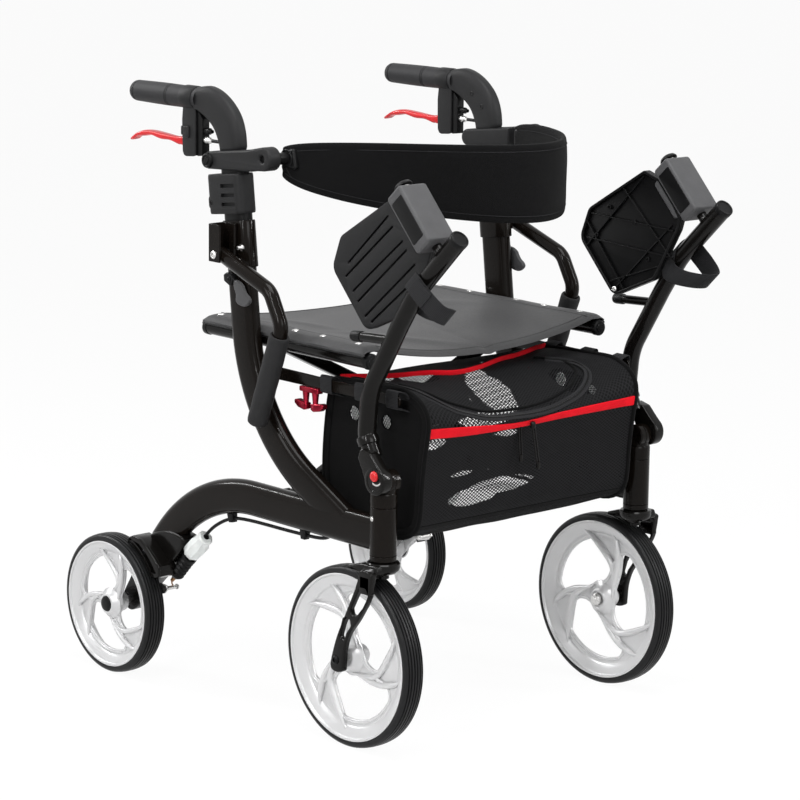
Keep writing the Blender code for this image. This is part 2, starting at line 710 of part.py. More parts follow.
def wheel(name, centre, radius, face, phase, parent):
    """A tyre and a rim with three curved openings, turning about Y.

    The web lies on one face of the wheel (-1 or 1 along Y). All four wheels sweep the same way.
    """
    rim_radius = radius - 0.0132
    half = WHEEL_HALF_WIDTH
    side_face = half - 0.0008
    seat = rim_radius + FIT_GAP
    outer = radius / math.cos(math.pi / WHEEL_STEPS)
    tread = [(seat, side_face), (outer - 0.0045, half), (outer, half - 0.0070)]
    profile = tread + [(point[0], -point[1]) for point in reversed(tread)]
    tyre = turned("tyre", profile, centre, (0, 1, 0), WHEEL_STEPS, True)
    finish(tyre, name + "tyre", tyre_rubber(), parent)
    inner = rim_radius - 0.0068
    ring_profile = [(rim_radius, side_face), (rim_radius, -side_face), (inner, -side_face),
                    (inner, side_face)]
    rim = turned("ring", ring_profile, centre, (0, 1, 0), WHEEL_STEPS, True)
    openings = []
    for turn in (0, 120, 240):
        loop = [(OPENING_ARC[0], OPENING_ARC[1] + (OPENING_ARC[2] - OPENING_ARC[1]) * step / 4)
                for step in range(5)] + list(OPENING_POINTS)
        openings.append([(centre[0] + rim_radius * part * math.cos(math.radians(angle + turn + phase)),
                          centre[2] + rim_radius * part * math.sin(math.radians(angle + turn + phase)))
                         for part, angle in loop])
    pitch = 360 / WHEEL_STEPS
    disc = arc((centre[0], centre[2]), inner + 0.003, pitch / 2, 360 - pitch / 2, WHEEL_STEPS - 1)
    web = plate("web", disc, centre[1] + face * 0.0010, centre[1] + face * 0.0110, openings)
    hub = cylinder("hub", (centre[0], centre[1] - half + 0.0005, centre[2]),
                   (centre[0], centre[1] + half - 0.0005, centre[2]), 0.0165)
    join(rim, web, hub)
    cut(rim, cylinder("axle_hole", (centre[0], centre[1] - 0.03, centre[2]),
                      (centre[0], centre[1] + 0.03, centre[2]), AXLE_RADIUS + FIT_GAP, AXLE_STEPS))
    finish(rim, name + "rim", silver_rim(), parent)


def fork(s, side, parent):
    """The caster fork: a stem, a crown and one leg outside the wheel, with the axle."""
    axle_x = HEAD_X - CASTER_TRAIL
    outline = [(0.2860, 0.2620), (0.2740, 0.2450), (0.2700, 0.2300), (0.2560, 0.1990), (0.2400, 0.1710),
               (0.2250, 0.1360), (0.2235, 0.1220), (0.2300, 0.1120), (0.2430, 0.1085), (0.2540, 0.1150),
               (0.2575, 0.1290), (0.2650, 0.1590), (0.2810, 0.1880), (0.3030, 0.2130), (0.3170, 0.2400),
               (0.3200, 0.2620)]
    body = plate("leg", outline, s * 0.2650, s * 0.2775)
    for index, (middle, half) in enumerate((((0.2830, 0.2150), 0.011), ((0.2510, 0.1700), 0.010))):
        along = Vector((0.50, 0.866))
        ends = [Vector(middle) - along * half, Vector(middle) + along * half]
        slot = arc(ends[1], 0.0045, -30, 150, 4) + arc(ends[0], 0.0045, 150, 330, 4)
        cut(body, plate("leg_slot_%d" % index, slot, s * 0.2600, s * 0.2820))
    crown = cylinder("crown", (HEAD_X, s * FRAME_Y, 0.2570),
                     (HEAD_X, s * FRAME_Y, HEAD_Z[0] - FIT_GAP), 0.0235)
    shoulder = box("shoulder", (0.2790, s * 0.2480, 0.2570), (0.3190, s * 0.2770, 0.2690))
    stem = cylinder("stem", (HEAD_X, s * FRAME_Y, 0.2650), (HEAD_X, s * FRAME_Y, HEAD_Z[1] - 0.0140),
                    STEM_RADIUS, AXLE_STEPS)
    axle = cylinder("axle", (axle_x, s * 0.2270, FRONT_RADIUS), (axle_x, s * 0.2700, FRONT_RADIUS),
                    AXLE_RADIUS, AXLE_STEPS)
    cap = cylinder("axle_cap", (axle_x, s * 0.2245, FRONT_RADIUS), (axle_x, s * 0.2270, FRONT_RADIUS), 0.009,
                   AXLE_STEPS)
    join(body, shoulder, crown, stem, axle, cap)
    return finish(body, side + "fork", charcoal_plastic(), parent)


def footrest_path():
    """The middle line of a folded footrest's tube, in (x, z)."""
    corners = [(0.2830, 0.4130), (0.2680, 0.4400), (0.2740, 0.5020), (0.3310, 0.5960), (0.3640, 0.6460),
               (0.4440, 0.7250)]
    return fillet(corners, [0, 0.030, 0.090, 0.250, 0.120, 0])


def rod_point(distance, out=0.0):
    """A point along the footplate's rod, measured from the tube, and out towards the plate."""
    along = (math.cos(FOOT_ROD_ANGLE), math.sin(FOOT_ROD_ANGLE))
    return (FOOT_ROD_START[0] + distance * along[0] - out * along[1],
            FOOT_ROD_START[1] + distance * along[1] + out * along[0])


def footrest_arm(s, side, parent):
    """The swinging footrest tube with its hinge disc, stop and footplate rod."""
    y = s * FOOT_ARM_Y
    body = round_tube("arm", at_y(footrest_path(), y), FOOT_ARM_RADIUS)
    neck_outline = arc(FOOT_HINGE, 0.0175, -130, 40, 8)
    neck_outline += [(0.2960, 0.4200), (0.2760, 0.4260), (0.2710, 0.4120)]
    neck = plate("neck", neck_outline, s * 0.2525, s * 0.2700)
    rod_end = rod_point(0.112)
    rod = cylinder("rod", (FOOT_ROD_START[0], y, FOOT_ROD_START[1]), (rod_end[0], y, rod_end[1]), 0.007,
                   AXLE_STEPS)
    knob_end = rod_point(0.116)
    knob = ball("knob", (knob_end[0], y, knob_end[1]), 0.0095)
    stub = cylinder("stop", (0.3150, y, 0.5760), (0.2380, y, 0.5720), 0.0070, 12)
    join(body, neck, rod, knob, stub)
    pin_hole = cylinder("pin_hole", (FOOT_HINGE[0], s * 0.2450, FOOT_HINGE[1]),
                        (FOOT_HINGE[0], s * 0.2665, FOOT_HINGE[1]), 0.0054, 12)
    button_hole = cylinder("button_hole", (FOOT_BUTTON[0], s * 0.2620, FOOT_BUTTON[1]),
                           (FOOT_BUTTON[0], s * 0.2750, FOOT_BUTTON[1]), 0.0058, AXLE_STEPS)
    cut(body, pin_hole, button_hole)
    return finish(body, side + "footrest_arm", frame_black(), parent)


def release_button(s, side, parent):
    body = turned("button", [(0.0, 0.0085), (0.0040, 0.0080), (0.0054, 0.0062), (0.0054, 0.0), (0.0, 0.0)],
                  (FOOT_BUTTON[0], s * 0.2655, FOOT_BUTTON[1]), (0, s, 0), AXLE_STEPS)
    return finish(body, side + "release_button", red_plastic(), parent)


def footplate(s, side, parent):
    """The footplate and the block in which it turns on its rod."""
    y = s * FOOT_ARM_Y
    outline = [(0.3080, 0.7660), (0.2000, 0.7010), (0.1830, 0.6560), (0.2540, 0.5790), (0.3340, 0.6130),
               (0.3760, 0.6880), (0.3820, 0.7080), (0.3380, 0.7560)]
    body = plate("tread", fillet(outline, [0, 0.018, 0.018, 0.018, 0.020, 0.010, 0, 0], True, 2),
                 s * 0.2295, s * 0.2408)
    body = soften(body, 0.0015, 1)
    corners = [rod_point(0.020, -0.0165), rod_point(0.110, -0.0165), rod_point(0.110, 0.0165),
               rod_point(0.020, 0.0165)]
    block = soften(plate("block", corners, y - 0.024, y + 0.024), 0.006, 2)
    join(body, block)
    low = rod_point(0.010)
    high = rod_point(0.130)
    cut(body, cylinder("rod_hole", (low[0], y, low[1]), (high[0], y, high[1]), 0.0073, AXLE_STEPS))
    room = rod_point(0.1075)
    cut(body, cylinder("knob_room", (room[0], y, room[1]), (high[0], y, high[1]), 0.0100, AXLE_STEPS))
    return finish(body, side + "footplate", charcoal_plastic(), parent)


def heel_strap(s, side, parent):
    """A loop of webbing that hangs from the footrest tube."""
    y = s * FOOT_ARM_Y
    route = [(0.3775, 0.6360), (0.3920, 0.6260), (0.4150, 0.6190), (0.4330, 0.6220), (0.4380, 0.6320),
             (0.4270, 0.6400), (0.4050, 0.6420), (0.3900, 0.6480)]
    middle = smooth_route([(point[0], 0.0, point[1]) for point in route], 2)
    half_width = 0.0125
    half_thick = 0.0011
    rings = []
    for index, point in enumerate(middle):
        ahead = middle[min(index + 1, len(middle) - 1)] - middle[max(index - 1, 0)]
        across = Vector((-ahead.z, 0.0, ahead.x)).normalized() * half_thick
        edge = Vector((0.0, half_width, 0.0))
        centre = Vector((point.x, y, point.z))
        rings.append([centre - across - edge, centre + across - edge, centre + across + edge,
                      centre - across + edge])
    return finish(loft("webbing", rings), side + "heel_strap", black_cloth(), parent)


def armrest_path():
    """The middle line of a lowered armrest's tube, in (x, z)."""
    corners = [ARMREST_PIVOT, (0.0980, 0.6170), (0.1240, 0.5700), (0.0830, 0.4610)]
    return fillet(corners, [0, 0.030, 0.027, 0])


def armrest_tube(s, side, parent):
    y = s * ARMREST_Y
    body = round_tube("tube", at_y(armrest_path(), y), ARMREST_RADIUS)
    knuckle = cylinder("knuckle", (ARMREST_PIVOT[0], y - 0.0103, ARMREST_PIVOT[1]),
                       (ARMREST_PIVOT[0], y + 0.0103, ARMREST_PIVOT[1]), ARMREST_RADIUS)
    join(body, knuckle)
    cut(body, cylinder("pin_hole", (ARMREST_PIVOT[0], y - 0.02, ARMREST_PIVOT[1]),
                       (ARMREST_PIVOT[0], y + 0.02, ARMREST_PIVOT[1]), 0.0034, SMALL_STEPS))
    return finish(body, side + "armrest_tube", frame_black(), parent)


def armrest_pad(s, side, parent):
    """The foam sleeve on the armrest, with a closed rounded end."""
    start = Vector((0.1195, s * ARMREST_Y, 0.5580))
    axis = (Vector((0.0830, s * ARMREST_Y, 0.4610)) - start).normalized()
    length = 0.139
    r = PAD_RADIUS
    hole = ARMREST_RADIUS + FIT_GAP
    covered = 0.1068
    profile = [(0.0, length), (r - 0.004, length), (r - 0.001, length - 0.0022), (r, length - 0.005),
               (r, 0.004), (r - 0.0015, 0.001), (hole, 0.0), (hole, covered), (0.0, covered)]
    body = turned("foam", profile, start, axis, ROUND_STEPS)
    return finish(body, side + "armrest_pad", black_rubber(), parent)


def armrest_lever(s, side, parent):
    """The small lever under the armrest bracket."""
    outline = [(-0.0230, 0.6265), (-0.0080, 0.6290), (0.0060, 0.6250), (0.0170, 0.6130), (0.0350, 0.5950),
               (0.0300, 0.5880), (0.0130, 0.5900), (-0.0020, 0.6060), (-0.0210, 0.6160)]
    body = plate("lever", outline, s * 0.2585, s * 0.2665)
    body = soften(body, 0.0012, 1)
    cut(body, cylinder("lever_hole", (LEVER_PIVOT[0], s * 0.2500, LEVER_PIVOT[1]),
                       (LEVER_PIVOT[0], s * 0.2750, LEVER_PIVOT[1]), 0.0034, SMALL_STEPS))
    return finish(body, side + "armrest_lever", charcoal_plastic(), parent)


def backrest_bracket(s, side, parent):
    """The moulding clamped round the handle tube, with the pivot of the back strap."""
    hub = 0.0155
    bar = 0.0125
    rear = (-0.060, 0.7790)
    front = arc(STRAP_PIVOT, hub, -80, 110, 5)
    outline = front + [(0.0220, rear[1] + bar)] + arc(rear, bar, 90, 270, 4) + [(0.0480, rear[1] - bar)]
    body = plate("bracket", outline, s * 0.2293, s * 0.2620)
    body = soften(body, 0.003, 1)
    knob = cylinder("knob", (rear[0], s * 0.2590, rear[1]), (rear[0], s * 0.2650, rear[1]), 0.0105,
                    AXLE_STEPS)
    pin = cylinder("strap_pin", (STRAP_PIVOT[0], s * 0.2170, STRAP_PIVOT[1]),
                   (STRAP_PIVOT[0], s * 0.2400, STRAP_PIVOT[1]), 0.003, 12)
    join(body, knob, pin)
    cut(body, handle_tube_shape(s, "tube_hole", FIT_GAP, (0.740, 0.830)))
    return finish(body, side + "backrest_bracket", charcoal_plastic(), parent)


def brace_x(s):
    """The space along X that a side's cross brace takes."""
    width = BRACE_BAR[0]
    first = 0.0655 if s < 0 else 0.0655 - 0.0006 - width
    return first, first + width


def seat_brace(s, side, parent):
    """A bar of the cross brace, pivoted low on one side, with the seat rail of the other side."""
    first, last = brace_x(s)
    low = Vector((s * RAIL_Y, BRACE_LOW_Z))
    high = Vector((-s * RAIL_Y, RAIL_Z - BRACE_DROP))
    along = (high - low).normalized()
    across = Vector((-along.y, along.x)) * BRACE_BAR[1] / 2
    half = BRACE_BAR[1] / 2
    tilt = math.degrees(math.atan2(along.y, along.x))
    outline = arc(low, half, tilt + 90, tilt + 270, 6) + [tuple(high - across), tuple(high + across)]
    shape = plate("bar", outline, -BRACE_BAR[0] / 2, BRACE_BAR[0] / 2)
    quarter_turn = Matrix.Rotation(math.radians(90), 4, "Z")
    shape.data.transform(Matrix.Translation(((first + last) / 2, 0, 0)) @ quarter_turn)
    rail = cylinder("rail", (RAIL_X[0], -s * RAIL_Y, RAIL_Z), (RAIL_X[1], -s * RAIL_Y, RAIL_Z), RAIL_RADIUS,
                    AXLE_STEPS)
    join(shape, rail)
    middle = (low + high) / 2
    if s < 0:
        pin = cylinder("centre_pin", (first - 0.0225, middle.x, middle.y),
                       (first + 0.003, middle.x, middle.y), BRACE_PIN, 12)
        join(shape, pin)
    else:
        cut(shape, cylinder("centre_hole", (first - 0.01, middle.x, middle.y),
                            (last + 0.01, middle.x, middle.y), BRACE_PIN + FIT_GAP, SMALL_STEPS))
    cut(shape, cylinder("low_hole", (first - 0.01, low.x, low.y), (last + 0.01, low.x, low.y),
                        BRACE_PIN + FIT_GAP, SMALL_STEPS))
    return finish(shape, side + "seat_brace", frame_black(), parent)


def side_bar(s, side, parent):
    """The flat bar inside the frame from which the bag hangs."""
    outline = fillet([(0.0260, 0.4790), (0.3000, 0.4800), (0.3000, 0.4940), (0.0260, 0.4970)], 0.006, True, 2)
    body = plate("bar", outline, s * 0.2170, s * 0.2205)
    join(body, cylinder("spacer", (0.0360, s * 0.2190, 0.4880), (0.0360, s * 0.2308, 0.4880), 0.0055,
                        SMALL_STEPS))
    return finish(body, side + "side_bar", frame_black(), parent)


def bag_hook(s, side, parent):
    """The pair of hooks under the side bar, on one foot."""
    y = s * 0.2190
    body = box("foot", (0.0990, y - 0.0040, 0.4735), (0.1310, y + 0.0040, 0.4785))
    for index, (x, toe) in enumerate(((0.1050, 0.0970), (0.1240, 0.1330))):
        path = [(x, y, 0.4745), (x, y, 0.4610), (toe, y, 0.4550)]
        join(body, round_tube("hook_%d" % index, path, 0.0030, 1))
    return finish(body, side + "bag_hook", red_plastic(), parent)


def seat(parent):
    """The sling seat: padded over its rails, hanging slightly between them."""
    half = RAIL_Y + 0.0125
    over_rail = 0.88
    across = (-1.0, -over_rail, -0.6, -0.3, 0.0, 0.3, 0.6, over_rail, 1.0)
    rail_top = RAIL_Z + RAIL_RADIUS + 0.0004
    hem_z = rail_top - 0.0090
    inner = half - 0.0018
    rings = []
    stations = 9
    for station in range(stations):
        part = station / (stations - 1)
        x = SEAT_X[0] + (SEAT_X[1] - SEAT_X[0]) * part
        pad = 0.0050 if station in (0, stations - 1) else 0.0085
        sag = 0.011 + 0.003 * math.sin(math.pi * part)
        dips = [sag * max(0.0, 1 - (abs(side) / over_rail) ** 3) for side in across]
        upper = [(x, side * half, rail_top - dip + pad) for side, dip in zip(across, dips)]
        under = [(x, side * half, rail_top - dip) for side, dip in zip(across, dips)][1:-1]
        hems = [[(x, side * half, hem_z), (x, side * inner, hem_z), (x, side * inner, rail_top)]
                for side in (-1, 1)]
        rings.append(upper + hems[1] + under[::-1] + hems[0][::-1])
    return finish(loft("sling", rings), "seat", seat_leatherette(), parent)


def bag(parent):
    """The bag under the front of the seat."""
    outline = [(0.1390, 0.4930), (0.1250, 0.4400), (0.1210, 0.3900), (0.1230, 0.3200), (0.1400, 0.2960),
               (0.2750, 0.2930), (0.3060, 0.3030), (0.3190, 0.3280), (0.3260, 0.3850), (0.3340, 0.4450),
               (0.3300, 0.4750), (0.3100, 0.4920)]
    body = plate("bag", outline, -0.198, 0.198)
    body = soften(body, 0.016, 2)
    return finish(body, "bag", black_cloth(), parent)


def strap_point(place):
    """A point in plan on the strap's bow, from one pivot (-1) to the other (1)."""
    side = 1 if place > 0 else -1
    part = 1 - abs(place)
    end = Vector((STRAP_PIVOT[0] - 0.004, side * STRAP_HALF_SPAN))
    corner = Vector((STRAP_FRONT_X, side * STRAP_CORNER_Y))
    front = Vector((STRAP_FRONT_X, 0.0))
    near_end = (1 - part) ** 2 * (1 + 2 * part)
    return end * near_end + corner * 3 * (1 - part) * part ** 2 + front * part ** 3


def backrest(parent):
    """The padded back strap, bowed forward between its two pivots."""
    rings = []
    stations = 17
    count = 8
    for station in range(stations):
        place = -1 + 2 * station / (stations - 1)
        middle = 1 - abs(place)
        here = strap_point(place)
        slope = strap_point(min(place + 0.01, 1.0)) - strap_point(max(place - 0.01, -1.0))
        normal = Vector((slope.y, -slope.x, 0.0)).normalized()
        top = 0.8040 + 0.0240 * (1 - (1 - middle) ** 3)
        low = 0.7690 - 0.0600 * (1 - (1 - middle) ** 2)
        at_end = middle == 0.0
        half = (top - low) / 2 - (0.005 if at_end else 0.0)
        thick = STRAP_THICKNESS / 2 * (0.6 if at_end else 1.0)
        ring = []
        for index in range(count):
            angle = 2 * math.pi * index / count
            height = math.copysign(abs(math.sin(angle)) ** 0.6, math.sin(angle))
            centre = Vector((here.x, here.y, (top + low) / 2))
            ring.append(centre + normal * thick * math.cos(angle) + Vector((0, 0, half * height)))
        rings.append(ring)
    body = loft("band", rings)
    for s, side in SIDES:
        tab = cylinder(side + "tab", (STRAP_PIVOT[0], s * 0.2185, STRAP_PIVOT[1]),
                       (STRAP_PIVOT[0], s * 0.2262, STRAP_PIVOT[1]), 0.0125, AXLE_STEPS)
        hole = cylinder(side + "tab_hole", (STRAP_PIVOT[0], s * 0.2120, STRAP_PIVOT[1]),
                        (STRAP_PIVOT[0], s * 0.2290, STRAP_PIVOT[1]), 0.0034, 12)
        join(body, tab)
        cut(body, hole)
    return finish(body, "backrest", black_cloth(), parent)


def build_side(s, side, root):
    """Every piece of one side, on empties that stand on the joints' axes."""
    y = s * FRAME_Y
    frame_side(s, side, root)
    armrest_bracket(s, side, root)
    clamp_collar(s, side, root)
    wheel_mount(s, side, root)
    cable_adjuster(s, side, root)
    brake_cable(s, side, root)
    side_bar(s, side, root)
    bag_hook(s, side, root)
    brace_axis = empty(side + "brace_axis", (0.0, s * RAIL_Y, BRACE_LOW_Z), root)
    seat_brace(s, side, brace_axis)
    caster = empty(side + "caster_axis", (HEAD_X, y, HEAD_Z[0]), root)
    fork(s, side, caster)
    front = empty(side + "front_axle", (HEAD_X - CASTER_TRAIL, y, FRONT_RADIUS), caster)
    front_place = Vector((HEAD_X - CASTER_TRAIL, y, FRONT_RADIUS))
    wheel(side + "front_", front_place, FRONT_RADIUS, -1, FRONT_TURN[s], front)
    rear_place = Vector((REAR_AXLE[0], s * REAR_WHEEL_Y, REAR_AXLE[1]))
    rear = empty(side + "rear_axle", rear_place, root)
    wheel(side + "rear_", rear_place, REAR_RADIUS, s, REAR_TURN[s], rear)
    brake_axis = empty(side + "brake_axis", (BRAKE_PIVOT[0], s * 0.2600, BRAKE_PIVOT[1]), root)
    brake_arm(s, side, brake_axis)
    handle = empty(side + "handle_slide", (UPRIGHT_TOP[0], y, UPRIGHT_TOP[1]), root)
    handle_tube(s, side, handle)
    handle_body(s, side, handle)
    grip(s, side, handle)
    brake_housing(s, side, handle)
    backrest_bracket(s, side, handle)
    lever_axis = empty(side + "lever_axis", (-0.121, y, 0.803), handle)
    brake_lever(s, side, lever_axis)
    arm_axis = empty(side + "armrest_axis", (ARMREST_PIVOT[0], s * ARMREST_Y, ARMREST_PIVOT[1]), root)
    armrest_tube(s, side, arm_axis)
    armrest_pad(s, side, arm_axis)
    catch = empty(side + "armrest_lever_axis", (LEVER_PIVOT[0], s * 0.2625, LEVER_PIVOT[1]), root)
    armrest_lever(s, side, catch)
    foot_axis = empty(side + "footrest_axis", (FOOT_HINGE[0], s * FOOT_ARM_Y, FOOT_HINGE[1]), root)
    footrest_arm(s, side, foot_axis)
    heel_strap(s, side, foot_axis)
    button = empty(side + "button_axis", (FOOT_BUTTON[0], s * 0.2655, FOOT_BUTTON[1]), foot_axis)
    release_button(s, side, button)
    rod = empty(side + "footplate_axis", (FOOT_ROD_START[0], s * FOOT_ARM_Y, FOOT_ROD_START[1]), foot_axis)
    footplate(s, side, rod)


def main():
    clear_scene()
    root = empty("walker_origin", (0.0, 0.0, 0.0))
    for s, side in SIDES:
        build_side(s, side, root)
    seat(root)
    bag(root)
    strap_axis = empty("backrest_axis", (STRAP_PIVOT[0], 0.0, STRAP_PIVOT[1]), root)
    backrest(strap_axis)
    root.location.x = SHIFT_X
    bpy.context.view_layer.update()


main()
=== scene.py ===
"""The looks of a folding four-wheeled walker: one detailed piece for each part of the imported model.

Sizes are metres. Points are written in the walker's own drawing, in which +X is the direction of travel,
+Y the user's left and +Z up; the function `at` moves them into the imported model's frame.
"""
import math

import bmesh
import bpy
from mathutils import Matrix, Vector, noise


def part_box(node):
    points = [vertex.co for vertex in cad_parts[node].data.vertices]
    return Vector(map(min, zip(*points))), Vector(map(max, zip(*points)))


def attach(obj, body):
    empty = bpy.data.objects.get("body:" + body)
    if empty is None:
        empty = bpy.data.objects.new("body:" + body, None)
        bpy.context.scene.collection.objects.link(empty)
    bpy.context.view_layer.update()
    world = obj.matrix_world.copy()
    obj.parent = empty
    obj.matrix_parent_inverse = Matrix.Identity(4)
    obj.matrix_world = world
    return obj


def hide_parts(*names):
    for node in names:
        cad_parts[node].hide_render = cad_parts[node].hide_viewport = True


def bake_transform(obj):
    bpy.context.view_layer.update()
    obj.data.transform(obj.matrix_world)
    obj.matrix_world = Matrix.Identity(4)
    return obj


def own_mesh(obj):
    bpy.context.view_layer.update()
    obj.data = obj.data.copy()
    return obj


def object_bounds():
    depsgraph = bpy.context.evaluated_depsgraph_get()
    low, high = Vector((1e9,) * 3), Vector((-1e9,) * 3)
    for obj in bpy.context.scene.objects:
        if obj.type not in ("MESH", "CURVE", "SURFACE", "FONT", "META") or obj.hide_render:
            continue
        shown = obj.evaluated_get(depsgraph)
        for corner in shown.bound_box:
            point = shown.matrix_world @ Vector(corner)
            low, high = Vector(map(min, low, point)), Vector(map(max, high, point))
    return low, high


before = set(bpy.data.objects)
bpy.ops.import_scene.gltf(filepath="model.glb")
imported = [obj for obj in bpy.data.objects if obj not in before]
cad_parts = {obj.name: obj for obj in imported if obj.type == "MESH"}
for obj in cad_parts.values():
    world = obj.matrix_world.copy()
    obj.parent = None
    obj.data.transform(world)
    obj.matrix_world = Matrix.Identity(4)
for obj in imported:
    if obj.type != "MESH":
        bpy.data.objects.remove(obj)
CAD_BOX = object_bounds()

bl_info = {"name": "Folding walker", "version": (1, 0, 0), "blender": (4, 5, 0),
           "location": "3D View > Sidebar > Walker",
           "description": "Builds the visible pieces of a folding four-wheeled walker round its packed model",
           "category": "Add Mesh",}

SIDES = ((-1, "right_"), (1, "left_"))
REAR_AXLE = (-0.262, 0.104)
SHIFT = sum(corner[0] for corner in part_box("right_rear_tyre")) / 2 - REAR_AXLE[0]

# Frame.
FRAME_Y = 0.2435
BEAM_Z = 0.3075
UPRIGHT_TOP = (-0.0145, 0.7)
UPRIGHT_CORNER = (0.019, 0.413)
LEAN = math.atan2(UPRIGHT_CORNER[0] - UPRIGHT_TOP[0], UPRIGHT_TOP[1] - UPRIGHT_CORNER[1])
HEAD_X = 0.2965
HEAD_Z = (0.272, 0.362)

# Wheels.
FRONT_AXLE = (0.2395, 0.127)
REAR_WHEEL_Y = 0.2785
FRONT_TURN = {-1: 38, 1: 2}
REAR_TURN = {-1: 0, 1: 90}

# Handles, strap, seat, armrests and footrests.
GRIP_Z = 0.861
GRIP_X = (-0.252, -0.1045)
STRAP_PIVOT = (0.066, 0.7915)
STRAP_SPAN = 0.2225
RAIL_Y = 0.2175
RAIL_Z = 0.532
RAIL_X = (-0.118, 0.242)
BRACE_LOW_Z = 0.315
ARMREST_Y = 0.279
ARMREST_PIVOT = (-0.008, 0.655)
FOOT_HINGE = (0.302, 0.382)
FOOT_ARM_Y = 0.25
FOOT_ROD = (0.415, 0.697)
FOOT_ROD_ANGLE = math.radians(132.8)
BRAKE_PIVOT = (-0.214, 0.176)

SHARP = math.radians(36)
WELD = 0.000012


def at(x, y, z):
    """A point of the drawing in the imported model's frame."""
    return Vector((x + SHIFT, y, z))


def mm(*points):
    """Points drawn in millimetres, as metres."""
    return [tuple(part / 1000 for part in point) for point in points]


def side_view(points, y):
    """Points drawn as (x, z), at one distance from the middle."""
    return [at(point[0], y, point[1]) for point in points]


# Materials.

class Value:
    """A number in a material. Python's operators on it add Math nodes."""

    def __init__(self, look, socket):
        self.look = look
        self.socket = socket

    def math(self, operation, *others):
        made = self.look.node("ShaderNodeMath", {"operation": operation}, dict(enumerate((self, *others))))
        return Value(self.look, made.outputs[0])

    def __add__(self, other):
        return self.math("ADD", other)

    def __sub__(self, other):
        return self.math("SUBTRACT", other)

    def __mul__(self, other):
        return self.math("MULTIPLY", other)

    def __rsub__(self, other):
        made = self.look.node("ShaderNodeMath", {"operation": "SUBTRACT"}, {0: other, 1: self})
        return Value(self.look, made.outputs[0])

    __radd__ = __add__
    __rmul__ = __mul__

    def step(self, low, high):
        """0 below low and 1 above high, with a soft edge between."""
        made = self.look.node("ShaderNodeMapRange", {"interpolation_type": "SMOOTHSTEP"},
                {"Value": self, "From Min": low, "From Max": high})
        return Value(self.look, made.outputs["Result"])


class Nodes:
    """Adds nodes to a node tree."""

    def __init__(self, tree):
        self.tree = tree

    def node(self, kind, settings, sockets):
        """Any node: its settings come first, then the values or links of its sockets."""
        made = self.tree.nodes.new(kind)
        for name, value in settings.items():
            setattr(made, name, value)
        for name, value in sockets.items():
            self.feed(made.inputs[name], value)
        return made

    def feed(self, socket, value):
        if isinstance(value, Value):
            value = value.socket
        if isinstance(value, bpy.types.NodeSocket):
            self.tree.links.new(value, socket)
        else:
            socket.default_value = value

    def white_rays(self):
        """1 for the rays that show a white backdrop: those of the camera, of clear material and of gloss."""
        rays = self.node("ShaderNodeLightPath", {}, {}).outputs
        seen = Value(self, rays["Is Camera Ray"])
        for name in ("Is Transmission Ray", "Is Glossy Ray"):
            seen = seen.math("MAXIMUM", Value(self, rays[name]))
        return seen


def shade(colour, amount):
    """A colour made darker or lighter, and never brighter than white."""
    return tuple(min(part * amount, 1.0) for part in colour)


class Look(Nodes):
    """A procedural material on the Principled shader."""

    made = {}

    def __init__(self, name, colour, roughness, **constants):
        self.material = bpy.data.materials.new(name)
        self.material.use_nodes = True
        super().__init__(self.material.node_tree)
        self.shader = self.tree.nodes["Principled BSDF"]
        self.material.diffuse_color = (*colour, 1.0)
        self.shader.inputs["Base Color"].default_value = (*colour, 1.0)
        self.shader.inputs["Roughness"].default_value = roughness
        for socket, value in constants.items():
            self.shader.inputs[socket.replace("_", " ")].default_value = value
        Look.made[name] = self

    def place(self):
        """Where a point lies on the object, in metres."""
        return self.node("ShaderNodeTexCoord", {}, {}).outputs["Object"]

    def map(self):
        """Where a point lies on the cloth, in metres along its two threads."""
        return self.node("ShaderNodeUVMap", {"uv_map": "Metres"}, {}).outputs["UV"]

    def axes(self, vector):
        split = self.node("ShaderNodeSeparateXYZ", {}, {0: vector})
        return [Value(self, socket) for socket in split.outputs]

    def grain(self, scale, detail=3.0, roughness=0.55):
        """Noise with a given number of grains to the metre."""
        made = self.node("ShaderNodeTexNoise", {}, {"Vector": self.place(), "Scale": scale, "Detail": detail,
                "Roughness": roughness})
        return Value(self, made.outputs["Fac"])

    def cells(self, scale):
        made = self.node("ShaderNodeTexVoronoi", {"feature": "F1"}, {"Vector": self.place(), "Scale": scale})
        return Value(self, made.outputs["Distance"])

    def blend(self, factor, first, second):
        """One colour turning into another."""
        ends = [(*end, 1.0) if isinstance(end, tuple) else end for end in (first, second)]
        made = self.node("ShaderNodeMix", {"data_type": "RGBA"}, {0: factor, 6: ends[0], 7: ends[1]})
        return made.outputs[2]

    def near(self, centre, radii):
        """1 at the middle of a soft patch and 0 outside it."""
        offset = self.node("ShaderNodeVectorMath", {"operation": "SUBTRACT"},
                {0: self.place(), 1: tuple(centre)}).outputs[0]
        scaled = self.node("ShaderNodeVectorMath", {"operation": "DIVIDE"}, {0: offset, 1: radii}).outputs[0]
        length = self.node("ShaderNodeVectorMath", {"operation": "LENGTH"}, {0: scaled}).outputs["Value"]
        return 1 - Value(self, length).step(0.75, 1.0)

    def colour(self, value):
        self.feed(self.shader.inputs["Base Color"], value)

    def mottle(self, mask, base, low, high):
        """Varies the colour from a darker to a lighter shade of its base."""
        self.colour(self.blend(mask, shade(base, low), shade(base, high)))

    def rough(self, value):
        self.feed(self.shader.inputs["Roughness"], value)

    def alpha(self, value):
        self.feed(self.shader.inputs["Alpha"], value)

    def bump(self, height, distance):
        """Raises the surface by a height of 0 to 1 times a distance in metres."""
        made = self.node("ShaderNodeBump", {}, {"Strength": 1.0, "Distance": distance, "Height": height})
        self.feed(self.shader.inputs["Normal"], made.outputs["Normal"])


